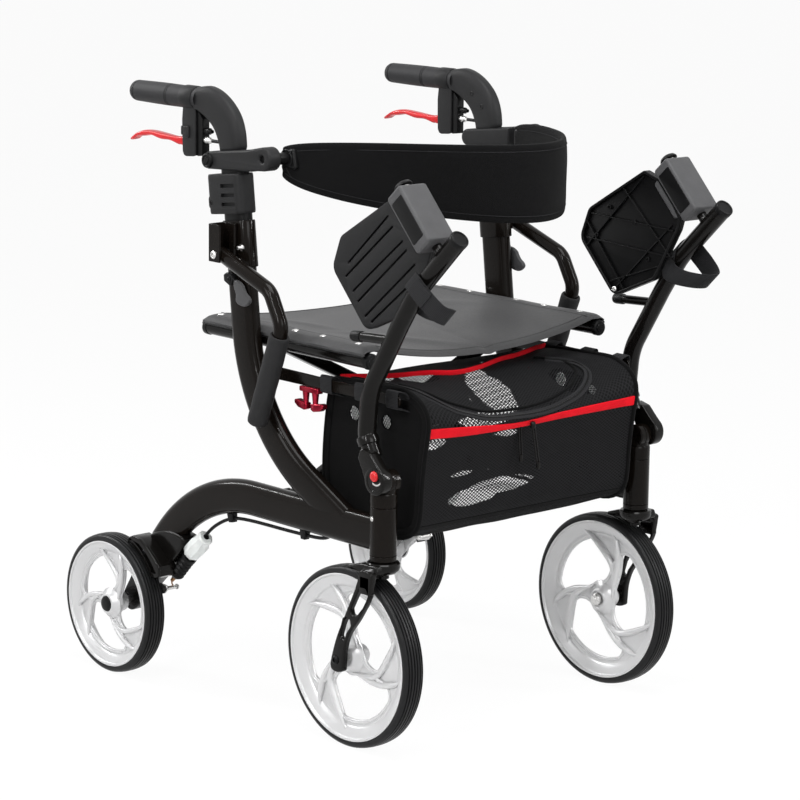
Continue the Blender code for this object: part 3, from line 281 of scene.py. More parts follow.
def waves(value, pitch):
    """0 to 1 and back for every pitch."""
    return (value * (2 * math.pi / pitch)).math("SINE") * 0.5 + 0.5


def paint_look(settings):
    """Gloss black powder coat with a slight orange peel. The warm cast in its colour is a painted reflection
    of brownish surroundings in the gloss.
    """
    look = Look("frame_paint", settings.frame_colour[:], 0.14, Specular_IOR_Level=0.1)
    cloud = look.grain(6.0, 2.0)
    look.mottle(cloud, settings.frame_colour, 0.6, 1.5)
    look.rough(0.1 + look.grain(30.0) * 0.09)
    look.bump(look.grain(260.0, 2.0), 0.0001)


def plastic_look(name, colour, roughness):
    """Moulded plastic with a fine spark-eroded grain and faint handling marks."""
    look = Look(name, colour, roughness, Specular_IOR_Level=0.12)
    marks = look.grain(45.0, 5.0, 0.65)
    look.mottle(marks, colour, 0.8, 1.22)
    look.rough(roughness - 0.08 + marks * 0.16)
    look.bump(look.grain(1500.0, 2.0, 0.6) + look.grain(60.0) * 0.3, 0.00012)


def rubber_look(name, colour, roughness):
    """Soft rubber or foam with a dull, slightly dusty skin."""
    look = Look(name, colour, roughness, Specular_IOR_Level=0.12)
    dust = look.grain(70.0, 6.0, 0.7)
    look.mottle(dust, colour, 0.75, 1.45)
    look.rough(roughness - 0.06 + dust * 0.12)
    look.bump(look.grain(900.0, 4.0, 0.7), 0.00018)


def rim_look(settings):
    """Silver lacquer over cast wheels, with a fine flake and a faint cloudy tone."""
    look = Look("silver_lacquer", settings.rim_colour[:], 0.3, Metallic=0.3, Specular_IOR_Level=0.3)
    flake = look.grain(1900.0, 2.0, 0.7)
    cloud = look.grain(14.0, 4.0)
    base = settings.rim_colour
    tone = look.blend(cloud, shade(base, 0.93), shade(base, 1.05))
    look.colour(look.blend(flake * 0.35, tone, shade(base, 0.8)))
    look.rough(0.22 + cloud * 0.1 + flake * 0.05)
    look.bump(flake * 0.5 + look.grain(90.0) * 0.5, 0.00006)


def gloss_look(name, colour, roughness, metallic, coat, specular=0.5):
    """Smooth coloured plastic, lacquer or anodised metal with slight flow marks."""
    look = Look(name, colour, roughness, Metallic=metallic, Coat_Weight=coat, Coat_Roughness=0.08,
                Specular_IOR_Level=specular)
    flow = look.grain(38.0, 4.0, 0.6)
    look.mottle(flow, colour, 0.82, 1.15)
    look.rough(roughness - 0.05 + flow * 0.12)
    look.bump(look.grain(320.0, 3.0), 0.00008)


def steel_look():
    """Plated steel with fine brushing and a little tarnish."""
    look = Look("plated_steel", (0.62, 0.62, 0.61), 0.28, Metallic=1.0)
    tarnish = look.grain(160.0, 5.0, 0.7)
    look.colour(look.blend(tarnish, (0.44, 0.43, 0.42), (0.78, 0.78, 0.77)))
    look.rough(0.2 + tarnish * 0.18)
    look.bump(look.grain(1400.0, 2.0), 0.00005)


def leatherette_look(settings):
    """Coated cloth with a fine pebbled grain, rubbed lighter in patches."""
    base = settings.seat_colour
    look = Look("leatherette", base[:], 0.46, Specular_IOR_Level=0.12)
    pebble = look.cells(620.0)
    wear = look.grain(9.0, 5.0, 0.6)
    tone = look.blend(wear, shade(base, 0.78), shade(base, 1.3))
    look.colour(look.blend(pebble * 0.5, tone, shade(base, 0.62)))
    look.rough(0.36 + wear * 0.14 + pebble * 0.1)
    look.bump(pebble * -0.7 + look.grain(240.0, 4.0) * 0.6, 0.0003)


def cloth_look(name, colour, pitch, lighter=1.9):
    """Plain woven cloth: two crossing sets of threads with a few lighter fibres."""
    look = Look(name, colour, 0.92, Sheen_Weight=0.02, Sheen_Roughness=0.5, Specular_IOR_Level=0.06)
    along, across, _ = look.axes(look.map())
    warp = waves(along, pitch)
    weft = waves(across, pitch)
    threads = warp * weft + (1 - warp) * (1 - weft)
    lint = look.grain(2400.0, 3.0, 0.8).step(0.55, 0.75)
    worn = look.grain(24.0, 5.0, 0.65)
    tone = look.blend(worn, shade(colour, 0.72), shade(colour, 1.35))
    tone = look.blend(threads * 0.35, tone, shade(colour, 0.45))
    look.colour(look.blend(lint * 0.4, tone, shade(colour, lighter)))
    look.rough(0.86 + worn * 0.12)
    look.bump(threads * 0.8 + worn * 0.5, 0.00032)


def webbing_look(colour):
    """Narrow ribbed webbing."""
    look = Look("webbing", colour, 0.82, Sheen_Weight=0.02, Specular_IOR_Level=0.12)
    along, across, _ = look.axes(look.map())
    ribs = waves(across, 0.0021)
    picks = waves(along + across * 0.6, 0.0016)
    fray = look.grain(600.0, 4.0, 0.7)
    look.mottle(ribs * 0.6 + fray * 0.3, colour, 0.45, 1.8)
    look.rough(0.74 + fray * 0.16)
    look.bump(ribs * 0.7 + picks * 0.4, 0.00035)


def mesh_look(name, colour, open_share, patches):
    """Knitted net with staggered holes. The holes are open in the patches; elsewhere they are closed and
    painted near black, a painted shade for the inside of the bag seen through them.
    """
    look = Look(name, colour, 0.7, Specular_IOR_Level=0.07)
    along, across, _ = look.axes(look.map())
    pitch = 0.0044
    turn = math.pi / pitch
    first = ((along + across * 0.62) * turn).math("SINE")
    second = ((along - across * 0.62) * turn).math("SINE")
    cell = first * second
    hole = (cell * cell).math("SQRT").step(open_share, open_share + 0.12)
    slack = look.grain(46.0, 5.0, 0.7)
    # Holes get a near-black shade of the colour. Where they stay closed, this is painted shade for the dark,
    # shaded inside of the bag seen through the net.
    look.mottle(hole, colour, 1.7, 0.35)
    look.rough(0.58 + slack * 0.2)
    look.bump(1 - hole, 0.0004)
    opened = None
    for centre, radii in patches:
        patch = look.near(centre, radii)
        opened = patch if opened is None else opened.math("MAXIMUM", patch)
    ragged = hole if opened is None else hole * (opened + (slack - 0.5) * 2.4).step(0.3, 0.62)
    look.alpha(1 - ragged)
    look.material.surface_render_method = "DITHERED"


def clear_look():
    """Pale translucent plastic."""
    look = Look("clear_plastic", (0.62, 0.64, 0.63), 0.34, Transmission_Weight=0.15, Coat_Weight=0.2)
    cloud = look.grain(110.0, 4.0)
    look.colour(look.blend(cloud, (0.52, 0.54, 0.53), (0.76, 0.78, 0.77)))
    look.rough(0.28 + cloud * 0.14)
    look.bump(look.grain(500.0), 0.00008)


def make_looks(settings):
    """Every finish of the walker."""
    paint_look(settings)
    plastic_look("charcoal_plastic", settings.plastic_colour[:], 0.46)
    # A lighter copy of the charcoal moulding plastic: its extra lightness is painted light, standing in for
    # the lit faces of the footplate block and the armrest catch's blade.
    plastic_look("painted_lit_plastic", (0.06, 0.06, 0.062), 0.38)
    plastic_look("dark_plastic", (0.0036, 0.0036, 0.0038), 0.34)
    gloss_look("gloss_black", (0.0038, 0.0034, 0.0031), 0.14, 0.0, 0.0, 0.15)
    rubber_look("grip_rubber", (0.018, 0.018, 0.019), 0.52)
    rubber_look("tyre_rubber", (0.01, 0.01, 0.0105), 0.32)
    rubber_look("foam", (0.0145, 0.0145, 0.015), 0.7)
    rim_look(settings)
    gloss_look("red_plastic", settings.red_colour[:], 0.3, 0.0, 0.1, 0.3)
    gloss_look("red_anodised", (0.36, 0.01, 0.03), 0.3, 0.85, 0.1)
    gloss_look("bronze", (0.42, 0.22, 0.1), 0.34, 0.9, 0.0)
    steel_look()
    leatherette_look(settings)
    cloth_look("strap_cloth", settings.cloth_colour[:], 0.0013)
    cloth_look("bag_cloth", shade(settings.cloth_colour, 0.8), 0.0011)
    cloth_look("red_cloth", (0.62, 0.006, 0.014), 0.0012, 1.2)
    webbing_look((0.012, 0.012, 0.013))
    rubber_look("stitching", (0.014, 0.014, 0.015), 0.8)
    mesh_look("net_patches", (0.006, 0.006, 0.0065), 0.34, BAG_WINDOWS)
    mesh_look("net_open", (0.007, 0.007, 0.0075), 0.3, ())
    clear_look()


# Shapes.

def arc(centre, radius, start, end, steps):
    """Points on an arc, its angles in degrees."""
    angles = [math.radians(start + (end - start) * step / steps) for step in range(steps + 1)]
    return [(centre[0] + radius * math.cos(angle), centre[1] + radius * math.sin(angle)) for angle in angles]


def fillet(points, radii, closed=False, steps=8):
    """Rounds the corners of a chain of (x, z) points with arcs of the given radius or radii."""
    count = len(points)
    if not isinstance(radii, (tuple, list)):
        radii = [radii] * count
    chain = [Vector(point) for point in points]
    result = []
    for index, corner in enumerate(chain):
        radius = radii[index]
        if radius == 0 or (not closed and index in (0, count - 1)):
            result.append(corner)
            continue
        back = (chain[index - 1] - corner).normalized()
        ahead = (chain[(index + 1) % count] - corner).normalized()
        half = back.angle(ahead) / 2
        centre = corner + (back + ahead).normalized() * radius / math.sin(half)
        reach = radius / math.tan(half)
        first = corner + back * reach - centre
        sweep = first.angle_signed(corner + ahead * reach - centre)
        for step in range(steps + 1):
            result.append(centre + Matrix.Rotation(-sweep * step / steps, 2) @ first)
    return [(point.x, point.y) for point in result]


def smooth(points, steps, closed=False):
    """A curve through all the points, as more points."""
    chain = [Vector(point) for point in points]
    if closed:
        chain = [chain[-1], *chain, chain[0], chain[1]]
    else:
        chain = [2 * chain[0] - chain[1], *chain, 2 * chain[-1] - chain[-2]]
    result = []
    for index in range(1, len(chain) - 2):
        before, start, end, after = chain[index - 1:index + 3]
        for step in range(steps):
            part = step / steps
            result.append(0.5 * (2 * start + (end - before) * part + (2 * before - 5 * start
                    + 4 * end - after) * part ** 2 + (3 * start - before - 3 * end + after) * part ** 3))
    if not closed:
        result.append(chain[-2])
    return result


def stadium(width, height):
    """A section with two flat sides and two round ends."""
    radius = height / 2
    reach = width / 2 - radius
    return arc((reach, 0), radius, -90, 90, 10) + arc((-reach, 0), radius, 90, 270, 10)


def rounded(width, height, radius, steps=5):
    """A rectangular section with round corners."""
    a = width / 2 - radius
    b = height / 2 - radius
    return (arc((a, b), radius, 0, 90, steps) + arc((-a, b), radius, 90, 180, steps)
            + arc((-a, -b), radius, 180, 270, steps) + arc((a, -b), radius, 270, 360, steps))


def squared(count, across, upright):
    """Points of a circle of radius 1, squared up by a power of each of their two numbers."""
    points = []
    for index in range(count):
        turn = 2 * math.pi * index / count
        points.append((math.copysign(abs(math.cos(turn)) ** across, math.cos(turn)),
                       math.copysign(abs(math.sin(turn)) ** upright, math.sin(turn))))
    return points


class Piece:
    """Gathers the faces of one piece, with a map of its surface in metres."""

    def __init__(self, name, look):
        self.name = name
        self.looks = [look]
        self.current = 0
        self.shape = bmesh.new()
        self.map = self.shape.loops.layers.uv.new("Metres")

    def use(self, look):
        """The finish of the faces that follow."""
        if look not in self.looks:
            self.looks.append(look)
        self.current = self.looks.index(look)
        return self

    def face(self, corners, spots):
        if len({corner.index for corner in corners}) < 3:
            return
        made = self.shape.faces.new(corners)
        made.material_index = self.current
        for loop, spot in zip(made.loops, spots):
            loop[self.map].uv = spot

    def skin(self, rows, closed=False, ends=False):
        """A surface over rows of equally many points."""
        size = len(rows[0])
        across = [0.0]
        middle = rows[len(rows) // 2]
        for index in range(size):
            across.append(across[-1] + (middle[(index + 1) % size] - middle[index]).length)
        along = [0.0]
        for first, second in zip(rows, rows[1:]):
            along.append(along[-1] + (second[size // 2] - first[size // 2]).length)
        grid = [[self.shape.verts.new(point) for point in row] for row in rows]
        self.shape.verts.index_update()
        for j in range(len(rows) - 1):
            for i in range(size if closed else size - 1):
                k = (i + 1) % size
                self.face((grid[j][i], grid[j][k], grid[j + 1][k], grid[j + 1][i]),
                          ((across[i], along[j]), (across[i + 1], along[j]), (across[i + 1], along[j + 1]),
                           (across[i], along[j + 1])))
        if ends:
            for row in (grid[0], grid[-1]):
                self.face(row, [(across[i], 0.0) for i in range(size)])
        return self

    def lathe(self, profile, start, axis, steps, ring=False):
        """A turned shape: (radius, height) points about an axis from a start point."""
        turn = Vector((0, 0, 1)).rotation_difference(Vector(axis)).to_matrix()
        if ring:
            profile = [*profile, profile[0]]
        rows = []
        for radius, height in profile:
            spread = max(radius, 0.0000001)
            rows.append([Vector(start) + turn @ Vector((spread * math.cos(2 * math.pi * i / steps),
                    spread * math.sin(2 * math.pi * i / steps), height)) for i in range(steps)])
        return self.skin(rows, closed=True)

    def sweep(self, path, section, side=(0, 1, 0), ends=True, sizes=None):
        """A section of (across, sideways) offsets carried along a path; sideways stays on the given axis."""
        sideways = Vector(side).normalized()
        rows = []
        for index, point in enumerate(path):
            ahead = (path[min(index + 1, len(path) - 1)] - path[max(index - 1, 0)]).normalized()
            across = sideways.cross(ahead).normalized()
            size = sizes[index] if sizes else 1.0
            rows.append([point + across * offset[0] * size + sideways * offset[1] * size
                         for offset in section])
        return self.skin(rows, closed=True, ends=ends)

    def knob(self, profile, place, y, way, steps):
        """A turned shape that points along Y from an (x, z) place."""
        return self.lathe(profile, at(place[0], y, place[1]), (0, way, 0), steps)

    def screw(self, place, y, way, *sizes):
        """A screw that points along Y from an (x, z) place."""
        return self.bolt(at(place[0], y, place[1]), (0, way, 0), *sizes)

    def pin(self, place, near, far, radius, steps=24):
        """A round pin across the walker at an (x, z) place."""
        return self.tube([at(place[0], near, place[1]), at(place[0], far, place[1])], radius, steps)

    def tube(self, path, radius, steps, domed=False):
        """A round tube along any path, with flat or domed ends."""
        path = [Vector(point) for point in path]
        ahead = (path[1] - path[0]).normalized()
        across = ahead.orthogonal().normalized()
        radii = [radius] * len(path) if isinstance(radius, float) else list(radius)
        frames = []
        for index, point in enumerate(path):
            now = (path[min(index + 1, len(path) - 1)] - path[max(index - 1, 0)]).normalized()
            across = ahead.rotation_difference(now).to_matrix() @ across
            ahead = now
            frames.append((point, across.copy(), ahead.cross(across), radii[index]))
        if domed:
            caps = []
            for (point, a, b, r), way in ((frames[0], (path[0] - path[1]).normalized()),
                    (frames[-1], (path[-1] - path[-2]).normalized())):
                caps.append([(point + way * r * math.sin(turn) * 0.8, a, b, r * math.cos(turn))
                             for turn in (0.4, 0.8, 1.15, 1.45)])
            frames = caps[0][::-1] + frames + caps[1]
        rows = [[point + a * r * math.cos(2 * math.pi * i / steps) + b * r * math.sin(2 * math.pi * i / steps)
                 for i in range(steps)] for point, a, b, r in frames]
        return self.skin(rows, closed=True, ends=True)

    def slab(self, outline, near, far, bevel, holes=(), rounds=2, plane=None):
        """A flat outline with holes and rounded edges, in the XZ plane or in a given one."""
        data = bpy.data.curves.new("outline", "CURVE")
        data.dimensions = "2D"
        data.fill_mode = "BOTH"
        shift = SHIFT if plane is None else 0.0
        for loop in (outline, *holes):
            spline = data.splines.new("POLY")
            spline.points.add(len(loop) - 1)
            for point, place in zip(spline.points, loop):
                point.co = (place[0] + shift, place[1], 0.0, 1.0)
            spline.use_cyclic_u = True
        data.extrude = abs(far - near) / 2 - bevel
        data.bevel_depth = bevel
        data.bevel_resolution = rounds
        data.offset = -bevel
        holder = bpy.data.objects.new("outline", data)
        bpy.context.scene.collection.objects.link(holder)
        graph = bpy.context.evaluated_depsgraph_get()
        mesh = bpy.data.meshes.new_from_object(holder.evaluated_get(graph))
        lift = Matrix.Translation((0, 0, (near + far) / 2))
        if plane is None:
            plane = Matrix(((1, 0, 0, 0), (0, 0, 1, 0), (0, 1, 0, 0), (0, 0, 0, 1)))
        mesh.transform(plane @ lift)
        bpy.data.objects.remove(holder)
        grid = [self.shape.verts.new(vertex.co) for vertex in mesh.vertices]
        self.shape.verts.index_update()
        flat = (plane @ lift).inverted()
        for polygon in mesh.polygons:
            spots = [(flat @ mesh.vertices[index].co)[:2] for index in polygon.vertices]
            self.face([grid[index] for index in polygon.vertices], spots)
        bpy.data.meshes.remove(mesh)
        bpy.data.curves.remove(data)
        return self

    def bolt(self, place, axis, radius, height, drive=0.5):
        """A button-headed screw with a socket in its head."""
        r = radius
        profile = [(r * 0.96, -0.0006), (r, height * 0.25), (r * 0.92, height * 0.62),
                   (r * 0.72, height * 0.92), (r * drive + 0.0003, height), (r * drive, height * 0.93),
                   (r * drive * 0.9, height * 0.35), (0, height * 0.3)]
        return self.lathe(profile, place, axis, 24)

    def done(self, body, slot, *nodes):
        """Makes the object, lets it ride on its body and stand for its nodes."""
        bmesh.ops.remove_doubles(self.shape, verts=self.shape.verts, dist=WELD)
        bmesh.ops.dissolve_degenerate(self.shape, edges=self.shape.edges, dist=WELD / 4)
        bmesh.ops.recalc_face_normals(self.shape, faces=self.shape.faces)
        mesh = bpy.data.meshes.new(self.name)
        self.shape.to_mesh(mesh)
        self.shape.free()
        for look in self.looks:
            mesh.materials.append(Look.made[look].material)
        mesh.shade_smooth()
        mesh.set_sharp_from_angle(angle=SHARP)
        piece = bpy.data.objects.new(self.name, mesh)
        bpy.context.scene.collection.objects.link(piece)
        if nodes:
            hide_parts(*nodes)
        if body:
            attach(piece, body)
        return piece


def lean_point(along, across):
    """A point measured up along the leaning upright and forward across it, from its top."""
    up = (-math.sin(LEAN), math.cos(LEAN))
    top_x, top_z = UPRIGHT_TOP
    return (top_x + along * up[0] + across * up[1], top_z + along * up[1] - across * up[0])


def turned_outline(outline, centre, angle):
    """An outline turned in its own plane."""
    turn = Matrix.Rotation(angle, 2)
    return [tuple(Vector(centre) + turn @ (Vector(point) - Vector(centre))) for point in outline]


# Side frames. In every piece s is -1 on the right and 1 on the left.

def frame_tubes(s, side):
    """The welded side frame: upright, base beam, head tube and footrest hinge."""
    y = s * FRAME_Y
    piece = Piece(side + "frame_tubes", "frame_paint")
    beam = fillet([(0.29, BEAM_Z), (-0.098, BEAM_Z), (-0.188, 0.203)], 0.263, steps=24)
    piece.sweep(side_view(beam, y), stadium(0.05, 0.025))
    upright = fillet([lean_point(-0.0013, 0.0), UPRIGHT_CORNER, (0.228, 0.3053)], 0.255, steps=24)
    piece.sweep(side_view(upright, y), stadium(0.0496, 0.0246))
    head = mm((0, 0), (16, 0), (18.1, 0.8), (18.5, 2), (18.5, 7.6), (17.8, 8.2), (18.5, 8.8), (18.5, 74.2),
              (17.7, 75), (18.5, 75.8), (18.5, 92), (17.6, 94.4), (15.8, 95.5), (15, 100), (15, 108),
              (0, 108))
    piece.lathe(head, at(HEAD_X, y, HEAD_Z[0]), (0, 0, 1), 48)
    barrel = mm((0, 0), (14.2, 0), (16, 1.5), (16, 8.8), (15, 9.6), (16, 10.4), (16, 19.5), (15, 21.3),
                (0, 21.3))
    piece.knob(barrel, FOOT_HINGE, s * 0.2305, s, 40)
    piece.tube([at(HEAD_X + 0.001, y, 0.364), at(FOOT_HINGE[0] - 0.001, s * 0.242, 0.377)], 0.0152, 30)
    first, last = brace_x(s)
    for x in (first - 0.0058, last + 0.0008):
        lug = [(s * 0.207, 0.304), (s * 0.232, 0.304), (s * 0.232, 0.326), (s * 0.213, 0.326),
               (s * 0.207, 0.32)]
        piece.slab(lug, x + SHIFT, x + 0.005 + SHIFT, 0.0007, plane=ACROSS)
    piece.use("plated_steel")
    for x, way in ((first - 0.0058, -1), (last + 0.0058, 1)):
        piece.bolt(at(x, s * RAIL_Y, BRACE_LOW_Z), (way, 0, 0), 0.0062, 0.003)
    piece.bolt(at(HEAD_X - 0.003, y + s * 0.0181, 0.3315), (-0.16, s, 0), 0.0034, 0.0012)
    for x in (0.03, 0.09):
        piece.bolt(at(x, s * 0.2312, BEAM_Z + 0.004), (0, -s, 0), 0.003, 0.001)
    return piece.done(side + "side", "frame_black", side + "frame")


ACROSS = Matrix(((0, 0, 1, 0), (1, 0, 0, 0), (0, 1, 0, 0), (0, 0, 0, 1)))


def brace_x(s):
    """The space along X that a side's cross brace takes."""
    first = 0.0655 if s < 0 else 0.0469
    return first, first + 0.018


def armrest_bracket(s, side):
    """The sleeve at the top of the upright and the channel that holds the armrest."""
    y = s * FRAME_Y
    piece = Piece(side + "armrest_channel", "frame_paint")
    sleeve = [lean_point(-0.0665, 0.0), lean_point(-0.0655, 0.0), lean_point(-0.003, 0.0),
              lean_point(-0.0012, 0.0)]
    piece.sweep(side_view(sleeve, y), stadium(0.056, 0.0288), sizes=(0.97, 1.0, 1.0, 0.97))
    a, b = s * 0.264, s * 0.293
    channel = [(-0.0218, a), (0.004, a), (0.004, s * 0.2672), (-0.0188, s * 0.2672), (-0.0188, s * 0.29),
               (0.004, s * 0.29), (0.004, b), (-0.019, b), (-0.0218, s * 0.2905)]
    channel = [(point[0] + SHIFT, point[1]) for point in channel]
    piece.slab(channel, 0.645, 0.6975, 0.0007, plane=Matrix.Identity(4))
    piece.slab(mm((-18, 640), (0, 640), (0, 697), (-18, 697)), s * 0.255, s * 0.2645, 0.0008)
    piece.slab(fillet(mm((-15, 612), (3, 612), (3, 648), (-15, 648)), 0.005, True), s * 0.256, s * 0.258,
               0.0005)
    piece.use("plated_steel")
    piece.screw(ARMREST_PIVOT, b, s, 0.0058, 0.0026)
    piece.lathe(mm((4.6, -1), (5, 1.8), (3, 3), (3, 7), (2, 8.2), (0, 8.4)), at(0.008, s * 0.256, 0.664),
                (0, s, 0), 20)
    for place in ((-0.01, 0.6905), (-0.0095, 0.685)):
        piece.bolt(at(place[0], s * 0.257, place[1]), (0.4, s, 0), 0.0013, 0.0006)
    piece.use("gloss_black")
    piece.bolt(at(-0.0216, s * 0.2795, 0.664), (-1, 0, 0), 0.0052, 0.004)
    return piece.done(side + "side", "frame_black", side + "armrest_bracket")


def clamp_collar(s, side):
    """The height clamp: a moulded collar with three slots and a screw boss behind."""
    piece = Piece(side + "height_clamp", "charcoal_plastic")
    section = rounded(0.0745, 0.0329, 0.011, 7)
    slots = (0.0219, 0.0345, 0.0476)
    stations = [(0.0085, 0.0, 0.962), (0.0094, 0.0, 0.982), (0.011, 0.0, 0.995), (0.013, 0.0, 1.0)]
    for middle in slots:
        low, high = middle - 0.0026, middle + 0.0026
        stations += [(low, 0.0, 1.0), (low, 0.0045, 1.0), (high, 0.0045, 1.0), (high, 0.0, 1.0)]
    stations += [(0.0595, 0.0, 1.0), (0.0615, 0.0, 0.995), (0.0631, 0.0, 0.982), (0.064, 0.0, 0.962)]
    rows = []
    for along, cut, size in stations:
        row = []
        for index, (across, out) in enumerate(section):
            row.append((across, out))
            if index == 7:
                row += [(0.0255, out), (0.0255, out - cut), (-0.004, out - cut), (-0.004, out)]
        points = []
        for across, out in row:
            place = lean_point(along, -0.0085 + across * size)
            points.append(at(place[0], s * (0.2458 + out * size), place[1]))
        rows.append(points)
    piece.skin(rows, closed=True, ends=True)

    def local(points):
        return [lean_point(point[1], point[0]) for point in points]

    boss = local(rounded_rect((-0.043, 0.015), (-0.03, 0.035), 0.006))
    piece.slab(boss, s * 0.254, s * 0.2615, 0.002)
    piece.use("dark_plastic")
    neck = [lean_point(-0.001, 0.0), lean_point(0.0735, 0.0)]
    piece.sweep(side_view(neck, s * FRAME_Y), stadium(0.048, 0.024))
    for out, way in ((0.2615, 1), (0.2293, -1)):
        piece.screw(lean_point(0.025, -0.0365), s * out, s * way, 0.004, 0.0016)
    return piece.done(side + "side", "charcoal_plastic", side + "clamp_collar")


def side_bar(s, side):
    """The flat bar inside the frame from which the bag hangs, with its bolt."""
    piece = Piece(side + "bag_bar", "frame_paint")
    outline = fillet(mm((26, 479), (300, 480), (300, 494), (26, 497)), 0.006, True)
    piece.slab(outline, s * 0.217, s * 0.2205, 0.0006)
    piece.pin((0.036, 0.488), s * 0.2195, s * 0.2312, 0.0055, 20)
    piece.use("plated_steel")
    piece.screw((0.036, 0.488), s * 0.217, -s, 0.0056, 0.0024)
    piece.screw((0.286, 0.487), s * 0.217, -s, 0.004, 0.0018)
    return piece.done(side + "side", "frame_black", side + "side_bar")


def bag_hooks(s, side):
    """Two anodised hooks under the bar."""
    y = s * 0.219
    piece = Piece(side + "bag_hooks", "red_anodised")
    piece.slab(rounded_rect((0.095, 0.4715), (0.135, 0.479), 0.002), y - 0.005, y + 0.005, 0.001)
    for x, way in ((0.1045, -1), (0.1245, 1)):
        stem = [at(x, y, 0.473), at(x, y, 0.461), at(x, y, 0.456), at(x, y, 0.453)]
        piece.tube(stem, (0.0054, 0.0042, 0.0038, 0.0056), 16)
        hook = [(x - way * 0.0056, 0.456), (x + way * 0.006, 0.4575), (x + way * 0.015, 0.459),
                (x + way * 0.0205, 0.458), (x + way * 0.02, 0.453), (x + way * 0.013, 0.448), (x, 0.4455),
                (x - way * 0.0056, 0.448)]
        piece.slab(fillet(hook, 0.0018, True, 3), y - 0.005, y + 0.005, 0.0016, rounds=3)
    return piece.done(side + "side", "red_anodised", side + "bag_hook")


def rounded_rect(low, high, radius):
    width, height = high[0] - low[0], high[1] - low[1]
    return [((low[0] + high[0]) / 2 + point[0], (low[1] + high[1]) / 2 + point[1])
            for point in rounded(width, height, radius)]


# Handles.

NECK_OUTER = mm((-104.5, 876.5), (-92, 878.7), (-78, 880), (-62, 876.8), (-47, 870.5), (-33, 861.5),
                (-21, 850.5), (-12.5, 838), (-7, 823), (-4.8, 809.5), (-4, 796.5))
NECK_INNER = mm((-104.5, 845.5), (-96, 843.5), (-88, 840), (-78, 835), (-69, 829), (-61.5, 822.5), (-56, 815),
                (-52, 807.5), (-49.2, 801), (-47.7, 796), (-46.8, 792.5))


def handle_tube(s, side):
    """The tube that sets the handle's height, with its two seals."""
    piece = Piece(side + "height_tube", "frame_paint")
    for low, high, width, depth in ((0.566, 0.82, 0.038, 0.019), (0.762, 0.7685, 0.0405, 0.0215),
            (0.789, 0.7945, 0.041, 0.022)):
        ends = [lean_point((height - UPRIGHT_TOP[1]) / math.cos(LEAN), 0.0) for height in (low, high)]
        piece.sweep(side_view(ends, s * FRAME_Y), stadium(width, depth))
        piece.use("dark_plastic")
    return piece.done(side + "handle", "frame_black", side + "handle_tube")


def swan_neck(s, side):
    """The curved moulding between the handle tube and the grip."""
    piece = Piece(side + "swan_neck", "charcoal_plastic")
    outer = smooth(NECK_OUTER, 5)
    inner = smooth(NECK_INNER, 5)
    rows = []
    last = len(outer) - 1
    for index, (high, low) in enumerate(zip(outer, inner)):
        middle = (high + low) / 2
        reach = (high - low) / 2
        ease = 1.0 - 0.1 * max(0.0, 1 - min(index, last - index) / 1.5)
        row = []
        for a, b in squared(40, 0.52, 0.52):
            spot = middle + reach * a * ease
            width = 0.0125 - 0.0018 * max(0.0, a) ** 3
            row.append(at(spot.x, s * FRAME_Y + width * b * ease, spot.y))
        rows.append(row)
    piece.skin(rows, closed=True, ends=True)
    piece.use("dark_plastic")
    for place in ((-0.03, 0.827), (-0.052, 0.845)):
        piece.bolt(at(place[0], s * (FRAME_Y - 0.0118), place[1]), (0, -s, 0), 0.0042, 0.0012, 0.6)
    return piece.done(side + "handle", "charcoal_plastic", side + "handle_body")


def hand_grip(s, side):
    """The soft sleeve of the grip, swelling slightly towards the palm, with two grooves and a domed end."""
    piece = Piece(side + "hand_grip", "grip_rubber")
    length = GRIP_X[1] - GRIP_X[0]

    def swell(height):
        return 0.015 + 0.0009 * math.sin(math.pi * min(1.0, max(0.0, (height - 0.01) / length)))

    profile = mm((0, 0), (6, 0.4), (10.5, 1.6), (13.2, 3.6), (14.5, 6.2), (15, 9.5))
    grooves = (0.012, 0.087, 0.0905)
    stops = sorted([0.01 + step * 0.006 for step in range(25)] + [place + shift for place in grooves
            for shift in (-0.0011, 0.0, 0.0011)])
    for height in stops:
        cut = 0.0017 if min(abs(height - place) for place in grooves) < 0.0002 else 0.0
        profile.append((swell(height) - cut, height))
    profile += [(swell(length) - 0.0004, length - 0.001), (0.012, length)]
    piece.lathe(profile, at(GRIP_X[0], s * FRAME_Y, GRIP_Z), (1, 0, 0), 48)
    return piece.done(side + "handle", "black_rubber", side + "grip")


